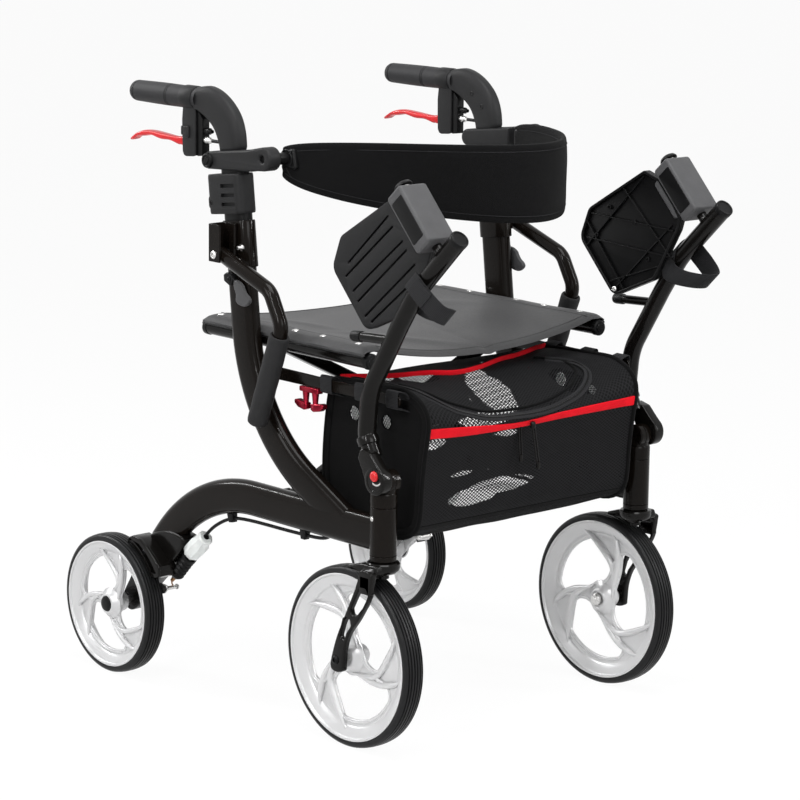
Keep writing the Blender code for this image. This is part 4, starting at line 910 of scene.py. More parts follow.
def brake_housing(s, side):
    """The housing below the grip: two cheeks, a front block, a lock button and two adjusters."""
    y = s * FRAME_Y
    piece = Piece(side + "brake_housing_shell", "charcoal_plastic")
    shell = mm((-129.5, 785), (-126.5, 779.5), (-121.5, 778.2), (-106, 779.5), (-100, 781), (-100, 850),
               (-108, 856), (-125, 856), (-129, 846), (-130.8, 830), (-130.4, 805))
    shell = fillet(shell, 0.003, True, 3)
    for near, far in ((0.2335, 0.2372), (0.2498, 0.2535)):
        piece.slab(shell, s * near, s * far, 0.0016, rounds=3)
    core = mm((-108, 780), (-101, 781), (-101, 848), (-128.5, 848), (-129.5, 823), (-108, 823))
    piece.slab(core, s * 0.235, s * 0.252, 0.0008)
    piece.lathe(mm((15, 0), (16.6, 0.8), (17, 3), (17, 26), (16, 27.5), (14, 27.5)), at(-0.1325, y, GRIP_Z),
                (1, 0, 0), 40)
    piece.slab(rounded_rect((-0.125, 0.805), (-0.112, 0.8215), 0.003), s * 0.252, s * 0.2562, 0.0012,
               rounds=3)
    piece.slab(rounded_rect((-0.1315, 0.808), (-0.123, 0.821), 0.002), s * 0.25, s * 0.2548, 0.001)
    piece.use("dark_plastic")
    front = fillet(mm((-101, 780), (-88.5, 781.5), (-88.5, 833), (-96, 842), (-101, 844)), 0.0015, True, 2)
    piece.slab(front, s * 0.2365, s * 0.25, 0.0012)
    for height, lock in ((0.8035, True), (0.8165, False)):
        profile = mm((4, 0), (4.6, 0.8), (4.6, 4.2), (4, 5), (4, 6.2), (4.7, 7), (4.7, 11), (3.6, 12.2),
                     (2.8, 15), (2.6, 16.5))
        piece.use("plated_steel" if lock else "dark_plastic")
        piece.lathe(profile, at(-0.0895, y, height), (1, 0, 0), 20)
    return piece.done(side + "handle", "charcoal_plastic", side + "brake_housing")


def brake_lever(s, side):
    """The red brake lever, curved and waisted, with finger waves below."""
    y = s * FRAME_Y
    piece = Piece(side + "squeeze_lever", "red_plastic")
    top = mm((-114.5, 803.5), (-130, 805.2), (-150, 803.5), (-170, 804.5), (-190, 806), (-210, 807),
             (-226, 805.8), (-240, 801.8), (-250, 796.5), (-256, 793))
    low = mm((-114.5, 792.5), (-130, 791.2), (-150, 793.2), (-170, 795.8), (-190, 797.6), (-210, 798.8),
             (-226, 798.2), (-240, 794.5), (-250, 791.2), (-256, 789))
    upper = smooth(top, 6)
    lower = smooth(low, 6)
    rows = []
    for index, (high, under) in enumerate(zip(upper, lower)):
        middle = (high + under) / 2
        reach = (high - under) / 2
        part = index / (len(upper) - 1)
        width = 0.0038 + 0.0042 * min(1.0, max(0.0, (part - 0.12) / 0.25)) * (1 - 0.45
                * max(0.0, part - 0.8) / 0.2)
        wave = 0.001 * math.sin(part * 26.0) if 0.2 < part < 0.9 else 0.0
        row = []
        for a, b in squared(24, 0.7, 0.7):
            drop = wave if a < 0 else 0.0
            row.append(at(middle.x + reach.x * a, y + width * b, middle.y + reach.y * a + drop))
        rows.append(row)
    piece.skin(rows, closed=True, ends=True)
    piece.pin((-0.121, 0.803), y - 0.0062, y + 0.0062, 0.0062)
    return piece.done(side + "brake_lever", "red_plastic", side + "brake_lever")


def strap_bracket(s, side):
    """The moulding clamped round the handle tube that carries the back strap's pivot."""
    piece = Piece(side + "strap_arm", "charcoal_plastic")
    rear = (-0.06, 0.779)
    tail = arc(rear, 0.0125, 100, 260, 14)
    bar = [(0.03, 0.8005), *tail, (0.03, 0.7715)]
    piece.slab(bar, s * 0.2293, s * 0.261, 0.0034, rounds=4)
    front = arc((0.059, 0.7915), 0.0165, -85, 100, 18)
    outline = front + [(0.023, 0.801), *tail, (0.023, 0.7725)]
    piece.slab(outline, s * 0.24, s * 0.262, 0.0034, [arc((0.057, 0.7915), 0.0053, 0, 340, 17)], 4)
    piece.use("dark_plastic")
    piece.slab(arc((0.057, 0.7915), 0.0075, 0, 340, 17), s * 0.242, s * 0.2575, 0.0006)
    knob = mm((0, 6.8), (4, 6.6), (4.8, 5), (7, 4.8), (8.2, 6.2), (10, 5.6), (11, 3), (11.2, -4))
    piece.knob(knob, rear, s * 0.26, s, 36)
    piece.pin(STRAP_PIVOT, s * 0.225, s * 0.242, 0.0083, 28)
    return piece.done(side + "handle", "charcoal_plastic", side + "backrest_bracket")


# Armrests.

def armrest_tube(s, side):
    piece = Piece(side + "armrest_bow", "frame_paint")
    corners = [ARMREST_PIVOT, (0.098, 0.617), (0.124, 0.57), (0.083, 0.461)]
    path = fillet(corners, [0, 0.03, 0.027, 0], steps=14)
    piece.tube(side_view(path, s * ARMREST_Y), 0.0103, 28, domed=True)
    piece.use("dark_plastic")
    piece.pin(ARMREST_PIVOT, s * 0.2682, s * 0.2898, 0.007)
    return piece.done(side + "armrest", "frame_black", side + "armrest_tube")


def armrest_foam(s, side):
    """The foam sleeve of the armrest, with a soft lip at its open end and a closed lower end."""
    piece = Piece(side + "armrest_foam", "foam")
    start = at(0.1195, s * ARMREST_Y, 0.558)
    axis = (at(0.083, s * ARMREST_Y, 0.461) - start).normalized()
    length = 0.139
    profile = mm((10.4, 6), (10.6, 0.8), (12.2, 0), (13.8, 0.6), (14.6, 3))
    for step in range(1, 24):
        height = 0.003 + (length - 0.01) * step / 24
        profile.append((0.0145 + 0.00022 * math.sin(height * 210.0), height))
    profile += [(0.0145, length - 0.006), (0.0138, length - 0.0022), (0.0118, length - 0.0004),
                (0.006, length), (0.0, length)]
    piece.lathe(profile, start, axis, 44)
    return piece.done(side + "armrest", "foam", side + "armrest_pad")


def armrest_lever(s, side):
    """The catch that frees the armrest: a hooked head and a rounded blade."""
    # The blade uses the lighter copy of the moulding plastic: painted light for its lit face.
    piece = Piece(side + "armrest_catch", "painted_lit_plastic")
    blade = smooth(mm((1, 610), (6, 599), (6, 590), (10, 586), (18, 584), (26, 584), (33, 588), (36, 593),
            (33, 598), (27, 602), (22, 608), (19, 613), (11, 617.5), (2, 618)), 4, True)
    piece.slab(blade, s * 0.2596, s * 0.266, 0.002, rounds=4)
    piece.use("dark_plastic")
    head = fillet(mm((-19, 624), (-13, 627.5), (-2, 626), (2, 618), (-1, 610.5), (-6, 609.5), (-18, 615)),
                  0.0024, True, 4)
    piece.slab(head, s * 0.2586, s * 0.2676, 0.0018, rounds=3)
    piece.screw((-0.006, 0.6185), s * 0.2676, s, 0.0036, 0.0012)
    return piece.done(side + "armrest_lever", "charcoal_plastic", side + "armrest_lever")


# Wheels and brakes.

OPENING_ARC = (0.778, 104.0, 172.0)
OPENING_POINTS = ((0.735, 178.0), (0.665, 180.5), (0.5, 179), (0.375, 170), (0.29, 156), (0.235, 133),
        (0.215, 106), (0.245, 84), (0.32, 73), (0.43, 71), (0.53, 75.5), (0.62, 83), (0.7, 92.5),
        (0.755, 99.5))
RIBS = (((0.955, 115), (0.905, 108), (0.765, 98.0), (0.615, 83.0), (0.515, 68.0), (0.42, 58.0), (0.32, 47.0),
         (0.235, 30.0)), ((0.945, 78.5), (0.86, 72.0), (0.77, 68.0), (0.64, 61.5), (0.455, 52.5),
        (0.265, 36.0), (0.2, 8.0)), ((0.7, 183.0), (0.56, 184.0), (0.42, 180.0), (0.31, 168.0)))


def about(radius, *points, scale=1.0):
    """Points drawn in millimetres about a radius, as (radius, height) in metres."""
    return [(radius + out * scale, height) for out, height in mm(*points)]


def wheel(name, centre, radius, face, phase, body, nodes, capped):
    """A tyre and a cast rim with three swept blades. The blades stand on the side that face names."""
    rim = radius - 0.0132
    axis = Vector((0, face, 0))
    middle = at(*centre)

    tyre = Piece(name + "tyre_tread", "tyre_rubber")
    half = about(rim, (-1, 13), (1.6, 15), (4.4, 16.2)) + about(radius, (-6.2, 16.3), (-3.6, 15.4),
            (-1.8, 13.8), (-1.2, 12.7), (-3, 12.1), (-3.1, 11.2), (-0.9, 10.5), (-0.4, 8.5), (-2.6, 7.9),
            (-2.7, 7), (-0.2, 6.3), (0, 4.5), (-0.1, 3.4), (-2.4, 2.8), (-2.5, 1.8), (0, 1.2), (0, 0))
    profile = half + [(point[0], -point[1]) for point in reversed(half[:-1])]
    tyre.lathe(profile, middle, axis, 144, ring=True)
    tyre.done(body, "tyre_rubber", nodes[0])

    cast = Piece(name + "cast_rim", "silver_lacquer")
    scale = rim / 0.1138
    ring = about(rim, (1, 14.6), (3, 16), (2.9, 16.5), (2.4, 16.8), (1, 16.8), (0.4, 16.6), (0, 16),
                 (-0.4, 14.2), (-1, 13.6), (-2, 13.2))
    ring += about(rim, (-8, 11), (-14, 8.2), (-15, 7.5), (-15.6, 6.6), (-16.4, 6.2), (-20, 6.2), (-20, 2),
                  (-11, -1), scale=scale)
    ring += about(rim, (-7, -8), (-3, -14.6), (1.4, -16.8), (3, -16), (1, -14.6))
    cast.lathe(ring, middle, axis, 144, ring=True)

    def spot(part, angle, turn):
        way = math.radians(angle + turn + phase)
        return (centre[0] + rim * part * math.cos(way), centre[2] + rim * part * math.sin(way))

    def lies(loop, level):
        return [at(point[0], centre[1] + face * level, point[1]) for point in loop]

    turns = (0, 120, 240)
    openings = []
    for turn in turns:
        start, end = OPENING_ARC[1:]
        loop = [(OPENING_ARC[0], start + (end - start) * step / 12)
                for step in range(13)] + list(OPENING_POINTS)
        flat = smooth([spot(part, angle, turn) for part, angle in loop], 3, True)
        openings.append(flat)
        edge = inset(flat, -0.0042)
        cast.tube(lies([*edge, edge[0]], 0.0056), 0.0016, 8)
    disc = arc((centre[0], centre[2]), rim - 0.018 * scale, 0, 357, 119)
    cast.slab(disc, centre[1] + face * 0.001, centre[1] + face * 0.006, 0.0014, openings, 3)
    for turn in turns:
        for route, thick in zip(RIBS, (0.0048, 0.0048, 0.0034)):
            flat = smooth([spot(part, angle, turn) for part, angle in route], 4)
            count = len(flat)
            sizes = [thick * scale * min(1.0, 0.25 + 2.2 * min(index, count - 1 - index) / count)
                     for index in range(count)]
            cast.tube(lies(flat, 0.0078), sizes, 14)
            cast.tube(lies(flat, 0.0024), [size * 0.8 for size in sizes], 10)
    hub = [(0.027 * scale, 0.005), (0.023, 0.007), (0.0196, 0.0098), (0.0168, 0.0128), (0.0152, 0.015),
           (0.014, 0.0158), (0.0119, 0.0158), (0.0116, 0.0138), (0.0, 0.0138)]
    cast.lathe(hub, middle, axis, 56)
    inner = [(0.025 * scale, 0.0014), (0.02, -0.0006), (0.0165, -0.004), (0.015, -0.009), (0.0145, -0.014),
             (0.0134, -0.016), (0.008, -0.016), (0.0075, -0.014), (0.0, -0.014)]
    cast.lathe(inner, middle, axis, 56)
    if capped:
        cast.use("dark_plastic")
        cap = mm((11.5, 13), (11.5, 16.2), (10.4, 17.8), (7.6, 18.7), (3.4, 19), (0, 19))
        cast.lathe(cap, middle, axis, 40)
    cast.done(body, "silver_rim", nodes[1])


def caster_fork(s, side):
    """The caster fork: a crown under the head tube and one slotted leg outside the wheel."""
    y = s * FRAME_Y
    piece = Piece(side + "caster_leg", "gloss_black")
    leg = mm((287, 262), (284, 252), (275, 230), (258, 196), (241, 162), (231, 134), (227.5, 118), (232, 111),
             (243, 110), (253, 114), (254.5, 122), (257, 145), (266, 168), (285.5, 193), (305, 224),
             (309, 240), (311, 252), (310, 261))
    outline = smooth(leg, 4, True)
    slots = [fillet(list(points), 0.003, True, 4) for points in (mm((286.5, 236), (298.5, 237), (303.5, 229),
            (295, 213), (281, 197.5), (270.5, 196.5), (268.5, 204)), mm((256, 188.5), (267, 189.5),
            (269, 181), (260, 169), (256, 159), (247, 160)))]
    piece.slab(outline, s * 0.268, s * 0.2775, 0.0024, slots, 4)
    crown = mm((0, -0.3), (16, -0.3), (21.5, -1.2), (23.2, -3), (23.5, -8), (22.5, -12), (19, -15), (0, -15))
    piece.lathe(crown, at(HEAD_X, y, HEAD_Z[0]), (0, 0, 1), 44)
    brow = fillet(mm((245, 259), (277, 269), (311, 270), (315, 260), (306, 252), (276, 254.5)),
                  (0.002, 0.02, 0.004, 0.006, 0.008, 0.02), True, 5)
    piece.slab(brow, s * 0.229, s * 0.27, 0.004, rounds=4)
    shoulder = fillet([(s * 0.25, 0.27), (s * 0.264, 0.27), (s * 0.2775, 0.26), (s * 0.2775, 0.23),
            (s * 0.268, 0.23), (s * 0.268, 0.248), (s * 0.26, 0.256), (s * 0.25, 0.256)],
            [0, 0.008, 0.012, 0.002, 0.002, 0.008, 0, 0], True, 6)
    piece.slab(shoulder, 0.285 + SHIFT, 0.309 + SHIFT, 0.0036, plane=ACROSS, rounds=3)
    piece.tube([at(HEAD_X, y, 0.256), at(HEAD_X, y, 0.248)], 0.0085, 24)
    piece.use("plated_steel")
    piece.pin(FRONT_AXLE, s * 0.2268, s * 0.27, 0.006)
    cap = mm((0, 6.8), (3, 6.6), (3.6, 5), (7.2, 4.8), (8.8, 3.2), (9.2, 0), (9.2, -1.8))
    piece.knob(cap, FRONT_AXLE, s * 0.2262, -s, 32)
    piece.use("dark_plastic")
    piece.screw(FRONT_AXLE, s * 0.2774, s, 0.0062, 0.003)
    return piece.done(side + "caster", "charcoal_plastic", side + "fork")


def rear_mount(s, side):
    """The moulded carrier of the rear wheel: a short sleeve, a drum, an arm down to the axle and a hood."""
    piece = Piece(side + "wheel_carrier", "gloss_black")
    sleeve = smooth(mm((-210, 204), (-204, 214), (-192, 220.5), (-174, 226.2), (-155, 229), (-138, 227.2),
            (-125, 223), (-127, 210), (-146, 189), (-166, 174), (-190, 174), (-206, 188)), 4, True)
    piece.slab(sleeve, s * 0.228, s * 0.259, 0.004, rounds=4)
    arm = smooth(mm((-158, 205), (-152, 192), (-168, 168), (-196, 144), (-222, 118), (-246, 94), (-262, 88),
                    (-276, 97), (-276, 112), (-258, 140), (-246, 162), (-241, 190), (-226, 206), (-196, 212)),
                 4, True)
    piece.slab(arm, s * 0.233, s * 0.2532, 0.003, rounds=3)
    drum = mm((0, 26.5), (21, 26.5), (26.2, 25), (29.2, 21.5), (30.2, 17), (30.2, 2.5), (29, 0), (0, 0))
    piece.knob(drum, BRAKE_PIVOT, s * 0.231, s, 56)
    hood = arc(REAR_AXLE, 0.1075, 70, 33, 14) + mm((-160, 160), (-150, 165), (-150, 180), (-165, 192.5),
            (-180, 203.5), (-195, 212.5), (-212, 215.5), (-224, 210.5))
    piece.slab(hood, s * 0.25, s * 0.2795, 0.003, rounds=4)
    piece.slab(hood, s * 0.276, s * 0.2825, 0.0022, [inset(hood, 0.0052)], 4)
    piece.use("dark_plastic")
    piece.screw(BRAKE_PIVOT, s * 0.2572, s, 0.0055, 0.004)
    piece.screw((-0.19, 0.1935), s * 0.2795, s, 0.004, 0.0014, 0.7)
    piece.use("plated_steel")
    piece.pin(REAR_AXLE, s * 0.24, s * 0.292, 0.006)
    return piece.done(side + "side", "charcoal_plastic", side + "wheel_mount")


def brake_shoe(s, side):
    """The brake arm on the drum, its shoe inside the rim and its wire clamp."""
    piece = Piece(side + "brake_linkage", "plated_steel")
    arm = arc(BRAKE_PIVOT, 0.012, 60, 200, 14) + mm((-206, 144), (-196, 131), (-188, 128), (-164, 134),
            (-157, 141), (-160, 147), (-184, 148), (-193, 157))
    piece.slab(arm, s * 0.2584, s * 0.2612, 0.0008, [arc(BRAKE_PIVOT, 0.0056, 0, 340, 17)])
    piece.screw((-0.1625, 0.1415), s * 0.2398, -s, 0.0042, 0.0026)
    piece.pin((-0.1625, 0.1415), s * 0.24, s * 0.259, 0.003, 18)
    piece.use("dark_plastic")
    shoe = arc(REAR_AXLE, 0.0798, 16, 38, 10) + arc(REAR_AXLE, 0.0706, 38, 16, 10)
    piece.slab(shoe, s * 0.2606, s * 0.272, 0.0012)
    return piece.done(side + "brake_arm", "steel_hardware", side + "brake_arm")


def cable_route(s):
    """The brake cable's route from its adjuster through the frame to the brake arm."""
    points = [(-0.079, 0.8035), (-0.06, 0.8035), (-0.044, 0.803), (-0.033, 0.797), (-0.0275, 0.783),
              (-0.0235, 0.75), lean_point(-0.02, 0.0), (0.006, 0.55), (0.021, 0.485), (0.06, 0.416),
              (0.115, 0.364), (0.168, 0.334), (0.195, 0.316), (0.2, 0.3), (0.189, 0.2865), (0.165, 0.278),
              (0.1, 0.2755), (0.01, 0.274), (-0.032, 0.268), (-0.068, 0.2505), (-0.096, 0.227)]
    return side_view(points, s * FRAME_Y)


def brake_cable(s, side):
    """The brake cable in its casing, with the two clips that hold it under the beam."""
    y = s * FRAME_Y
    piece = Piece(side + "brake_line", "dark_plastic")
    piece.tube(smooth(cable_route(s), 5), 0.0025, 12)
    for place, lean in (((0.133, 0.275), 0.0), ((-0.027, 0.269), 0.16)):
        clip = mm((-6.5, 8.5), (6.5, 8.5), (5.5, 1), (4, -4.5), (-4, -4.5), (-5.5, 1))
        outline = turned_outline([(place[0] + p[0], place[1] + p[1]) for p in clip], place, lean)
        piece.slab(outline, y - 0.005, y + 0.005, 0.0012)
    made = piece.done(None, "black_rubber", side + "brake_cable")
    side + "side"
    side + "handle"
    at(0.0, y, 0.56)
    at(-0.02, y, 0.75)
    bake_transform(made)
    return made


def cable_adjuster(s, side):
    """The pale adjuster block under the beam, its ribbed boot and the bare end of the wire."""
    y = s * FRAME_Y
    piece = Piece(side + "cable_block", "clear_plastic")
    start, end = Vector((-0.088, 0.231)), Vector((-0.125, 0.198))
    along = (end - start).normalized()
    axis = (along.x, 0, along.y)
    block = mm((0, 0), (9.5, 0), (12, 2.6), (12, 14), (14.5, 18), (14.5, 40), (13.2, 46), (11, 48), (0, 48))
    piece.lathe(block, at(start.x, y, start.y), axis, 8)
    piece.use("dark_plastic")
    gland = mm((0, -0.6), (4.2, -0.6), (4.6, -0.2), (4.6, 4))
    piece.lathe(gland, at(start.x, y, start.y), axis, 20)
    boot_start, boot_end = Vector((-0.1255, 0.1945)), Vector((-0.164, 0.155))
    along = (boot_end - boot_start).normalized()
    axis = (along.x, 0, along.y)
    profile = mm((10.4, -1), (11.2, 1), (11.2, 5))
    for index in range(5):
        base = 0.007 + index * 0.008
        profile += [(0.0076, base), (0.0104, base + 0.0024), (0.0108, base + 0.004), (0.01, base + 0.0058)]
    profile += mm((6.6, 50), (3.6, 53.5), (0, 53.5))
    piece.lathe(profile, at(boot_start.x, y, boot_start.y), axis, 28)
    piece.use("bronze")
    tip = mm((0, 52.5), (3, 52.5), (3.4, 56), (2.8, 62), (1.2, 64), (0, 64))
    piece.lathe(tip, at(boot_start.x, y, boot_start.y), axis, 20)
    piece.tube([at(-0.17, y, 0.149), at(-0.169, y, 0.145), at(-0.166, y, 0.1425)], 0.0011, 10)
    return piece.done(side + "side", "clear_plastic", side + "cable_adjuster")


# Footrests.

FOOT_BUTTON = (0.3075, 0.3935)
PLATE_OUTLINE = mm((308, 766), (200, 701), (183, 656), (254, 579), (334, 613), (376, 688), (382, 708),
        (338, 756))
PLATE_CORNERS = (0.006, 0.018, 0.018, 0.018, 0.02, 0.01, 0.004, 0.006)
PLATE_GROOVES = [mm(*pair) for pair in (((217, 667), (295, 738)), ((212, 648), (304, 725)),
        ((227, 630), (324, 708)), ((237, 617), (332, 697)), ((252, 599), (349, 680)),
        ((265, 593), (355, 664)))]
PLATE_RIBS = [mm(*pair) for pair in (((266, 738), (369, 642)), ((196, 682), (272, 592)),
        ((306, 757), (196, 645)), ((362, 693), (256, 591)), ((206, 694), (366, 686)),
        ((198, 658), (366, 648)), ((246, 600), (338, 632)))]


def rod_point(distance, out=0.0):
    """A point along the footplate's rod, measured from the tube, and out towards the plate."""
    along = (math.cos(FOOT_ROD_ANGLE), math.sin(FOOT_ROD_ANGLE))
    return (FOOT_ROD[0] + distance * along[0] - out * along[1], FOOT_ROD[1] + distance * along[1]
            + out * along[0])


def bar_between(start, end, half):
    """A narrow round-ended outline between two points."""
    turn = math.degrees(math.atan2(end[1] - start[1], end[0] - start[0]))
    return arc(end, half, turn - 90, turn + 90, 5) + arc(start, half, turn + 90, turn + 270, 5)


def inset(outline, distance):
    """A closed outline moved inwards by a distance."""
    count = len(outline)
    area = sum(outline[i - 1][0] * outline[i][1] - outline[i][0] * outline[i - 1][1] for i in range(count))
    way = math.copysign(1.0, area)
    result = []
    for index in range(count):
        point = Vector(outline[index])
        ahead = (Vector(outline[(index + 1) % count]) - Vector(outline[index - 1])).normalized()
        result.append(tuple(point + Vector((-ahead.y, ahead.x)) * distance * way))
    return result


def footrest_arm(s, side):
    """The swinging tube of a footrest: hinge disc, end cap, rubber stop and the footplate's rod."""
    y = s * FOOT_ARM_Y
    piece = Piece(side + "footrest_tube", "gloss_black")
    corners = mm((283, 413), (268, 440), (274, 502), (331, 596), (364, 646), (444, 725))
    path = side_view(fillet(corners, [0, 0.03, 0.09, 0.25, 0.12, 0], steps=10), y)
    piece.tube(path, 0.0125, 32)
    collar = mm((12.6, 0), (14.6, 1), (15, 3), (15, 11), (14.4, 12.6), (12.6, 13))
    piece.lathe(collar, path[1] - (path[2] - path[1]).normalized() * 0.004, path[2] - path[1], 32)
    disc = (FOOT_HINGE[0] + 0.003, FOOT_HINGE[1] + 0.004)
    neck = arc(disc, 0.02, -130, 40, 26) + fillet(mm((310, 408), (296, 422), (276, 427), (271, 412),
            (280, 396)), [0, 0.006, 0.006, 0.006, 0])
    piece.slab(neck, s * 0.2525, s * 0.269, 0.0026, rounds=4)
    face = mm((18.2, -1), (18, 0.8), (16.8, 1.4), (13.4, 1.4), (12.6, 0.4), (0, 0.4))
    piece.knob(face, disc, s * 0.2688, s, 44)
    stub = Vector((0.238, 0.572)) - Vector((0.315, 0.576))
    piece.tube([at(0.315, y, 0.576), at(0.25, y, 0.5726)], 0.0064, 20)
    low, high = rod_point(0.004), rod_point(0.112)
    piece.tube(side_view([low, high], y), 0.007, 24)
    piece.use("dark_plastic")
    ahead = (path[-1] - path[-2]).normalized()
    cap = mm((12.7, -6), (13, -4), (13.1, 1.2), (12.4, 2.6), (10.6, 3), (10, 1.8), (0, 1.6))
    piece.lathe(cap, path[-1], ahead, 36)
    way = Vector((stub.x, 0, stub.y)).normalized()
    rubber = mm((6, 0), (7.4, 0.6), (7.8, 3), (7.8, 15), (7, 18.2), (4.5, 20), (0, 20.4))
    piece.lathe(rubber, at(0.257, y, 0.573), way, 24)
    rod_way = (math.cos(FOOT_ROD_ANGLE), 0, math.sin(FOOT_ROD_ANGLE))
    top = rod_point(0.114)
    dome = mm((0, 0), (10.8, 0), (12.8, 1), (13, 2.6), (11.2, 5.6), (7, 7.8), (0, 8.6))
    piece.lathe(dome, at(top[0], y, top[1]), rod_way, 36)
    piece.use("plated_steel")
    base = rod_point(0.1092)
    piece.lathe(mm((7.2, 0), (8.8, 0.4), (8.8, 4.4), (7.2, 5)), at(base[0], y, base[1]), rod_way, 20)
    # A thin steel crescent below the release button: a painted highlight where the hinge disc's face catches
    # the light.
    painted_highlight_crescent = arc((0.3105, 0.3925), 0.0118, 235, 320, 12) + arc((0.3105, 0.395), 0.0118, 318, 237, 12)
    piece.slab(painted_highlight_crescent, s * 0.268, s * 0.2708, 0.0003)
    return piece.done(side + "footrest", "frame_black", side + "footrest_arm")


def release_button(s, side):
    """The glossy red button that frees a footrest, in its dark ring."""
    place = at(FOOT_BUTTON[0], s * 0.2655, FOOT_BUTTON[1])
    piece = Piece(side + "footrest_button", "red_plastic")
    piece.lathe(mm((0, 0), (7.2, 0), (7.2, 5.8), (6.8, 7), (5.4, 8.2), (3, 8.9), (0, 9.1)), place, (0, s, 0),
                36)
    piece.use("dark_plastic")
    piece.lathe(mm((7.5, 0), (8.8, 2), (8.8, 4.6), (8.4, 5.4), (7.7, 5.4), (7.4, 4.4)), place, (0, s, 0), 36)
    return piece.done(side + "release_button", "red_plastic", side + "release_button")


def footplate(s, side):
    """The footplate: a grooved tread with a ribbed back, and the block in which it turns."""
    y = s * FOOT_ARM_Y
    piece = Piece(side + "foot_tread", "charcoal_plastic")
    outline = fillet(list(PLATE_OUTLINE), list(PLATE_CORNERS), True, 6)
    grooves = [bar_between(start, end, 0.0016) for start, end in PLATE_GROOVES]
    piece.slab(outline, s * 0.2368, s * 0.241, 0.001, grooves)
    block = fillet([rod_point(0.02, -0.0165), rod_point(0.11, -0.0165), rod_point(0.11, 0.0165),
                    rod_point(0.02, 0.0165)], 0.005, True, 5)
    # The block uses the lighter copy of the moulding plastic: painted light for its lit top.
    piece.use("painted_lit_plastic")
    piece.slab(block, y - 0.024, y + 0.024, 0.0042, rounds=4)
    lip = fillet([rod_point(0.03, 0.012), rod_point(0.102, 0.012), rod_point(0.096, 0.03),
                  rod_point(0.036, 0.03)], 0.004, True, 4)
    piece.slab(lip, s * 0.23, s * 0.244, 0.0022, rounds=3)
    piece.use("dark_plastic")
    piece.slab(outline, s * 0.2338, s * 0.2372, 0.0004)
    piece.slab(outline, s * 0.2293, s * 0.2342, 0.0012, [inset(outline, 0.0042)], 3)
    for start, end in PLATE_RIBS:
        piece.slab(bar_between(start, end, 0.0009), s * 0.2303, s * 0.2342, 0.0003)
    for place in mm((216, 664), (262, 604), (240, 706), (318, 640), (290, 690)):
        piece.lathe(mm((3.4, 0), (3.4, 3), (3, 3.4), (2, 3.4), (1.7, 1.4), (0, 1.4)),
                    at(place[0], s * 0.234, place[1]), (0, -s, 0), 20)
    cover = fillet([rod_point(0.032, -0.0125), rod_point(0.098, -0.0125), rod_point(0.098, 0.0125),
                    rod_point(0.032, 0.0125)], 0.003, True, 4)
    piece.slab(cover, y - 0.0246, y + 0.0246, 0.001)
    piece.use("plated_steel")
    piece.screw((0.256, 0.59), s * 0.23, -s, 0.0042, 0.0024)
    return piece.done(side + "footplate", "charcoal_plastic", side + "footplate")


def heel_strap(s, side):
    """The loop of webbing that hangs from the footrest tube, its width along the tube."""
    piece = Piece(side + "heel_loop", "webbing")
    route = mm((373, 661, 264), (386, 651, 264.6), (402, 639, 263.6), (417, 627.5, 260), (425.5, 621.5, 251),
               (418, 620, 241), (398, 620, 236.6), (374, 622, 235.2), (356, 629, 235.6), (354, 645, 239),
               (356, 658, 248), (362, 664, 259))
    path = [at(point.x, s * point.z, point.y) for point in smooth(route, 7, True)]
    piece.sweep([*path, path[0]], rounded(0.002, 0.031, 0.0008, 3), side=(0.711, 0, 0.703), ends=False)
    patch = [point + Vector((0, s * 0.0019, 0)) for point in path[2:14]]
    piece.sweep(patch, rounded(0.0014, 0.029, 0.0006, 2), side=(0.711, 0, 0.703))
    return piece.done(side + "footrest", "black_cloth", side + "heel_strap")


# Cross brace and seat.

BRACE_DROP = 0.004
SEAT_X = (-0.113, 0.237)


def cross_brace(s, side):
    """One bar of the cross under the seat, with the rail that it carries on the other side."""
    first, last = brace_x(s)
    piece = Piece(side + "brace_and_rail", "gloss_black")
    low = Vector((s * RAIL_Y, BRACE_LOW_Z))
    high = Vector((-s * RAIL_Y, RAIL_Z - BRACE_DROP))
    along = (high - low).normalized()
    half = 0.0085
    across = Vector((-along.y, along.x)) * half
    tilt = math.degrees(math.atan2(along.y, along.x))
    outline = arc(low, half, tilt + 90, tilt + 270, 14) + [tuple(high - across), tuple(high + across)]
    piece.slab(outline, first + SHIFT, last + SHIFT, 0.0028, plane=ACROSS, rounds=4)
    y = -s * RAIL_Y
    piece.tube([at(RAIL_X[0] + 0.002, y, RAIL_Z), at(RAIL_X[1] - 0.002, y, RAIL_Z)], 0.0104, 28)
    piece.tube([at((first + last) / 2 - 0.012, y, RAIL_Z), at((first + last) / 2 + 0.012, y, RAIL_Z)], 0.0112,
               28)
    piece.use("dark_plastic")
    plug = mm((0, 3.6), (6, 3.6), (6.6, 2.6), (9.8, 2.6), (11.2, 1.2), (11.4, -1), (11.4, -6), (10.4, -6.6))
    for x, way in ((RAIL_X[0] + 0.003, -1), (RAIL_X[1] - 0.003, 1)):
        piece.lathe(plug, at(x, y, RAIL_Z), (way, 0, 0), 32)
    middle = (low + high) / 2
    piece.use("plated_steel")
    if s < 0:
        piece.tube([at(first - 0.0215, middle.x, middle.y), at(last + 0.001, middle.x, middle.y)], 0.004, 20)
        piece.bolt(at(last - 0.0002, middle.x, middle.y), (1, 0, 0), 0.0066, 0.0034)
        piece.bolt(at(first - 0.02, middle.x, middle.y), (-1, 0, 0), 0.0066, 0.0034)
    return piece.done(side + "brace", "frame_black", side + "seat_brace")


def seat_dip(x, y):
    """How far the top of the seat lies below its height over the rails."""
    part = (x - SEAT_X[0]) / (SEAT_X[1] - SEAT_X[0])
    across = min(1.0, abs(y) / 0.205)
    dip = (0.0125 + 0.012 * part ** 2.5) * (1 - across ** 2.2)
    fall = max(0.0, 1 - abs(y - 0.004 - 0.05 * (1 - part)) / 0.02)
    dip += 0.0034 * fall * fall * max(0.0, part - 0.45) / 0.55
    for start, end, depth, width in SEAT_FOLDS:
        dip -= depth * fold(x, y, start, end, width)
    return dip + 0.0012 * noise.noise(Vector((x * 14, y * 9, 0.3)))


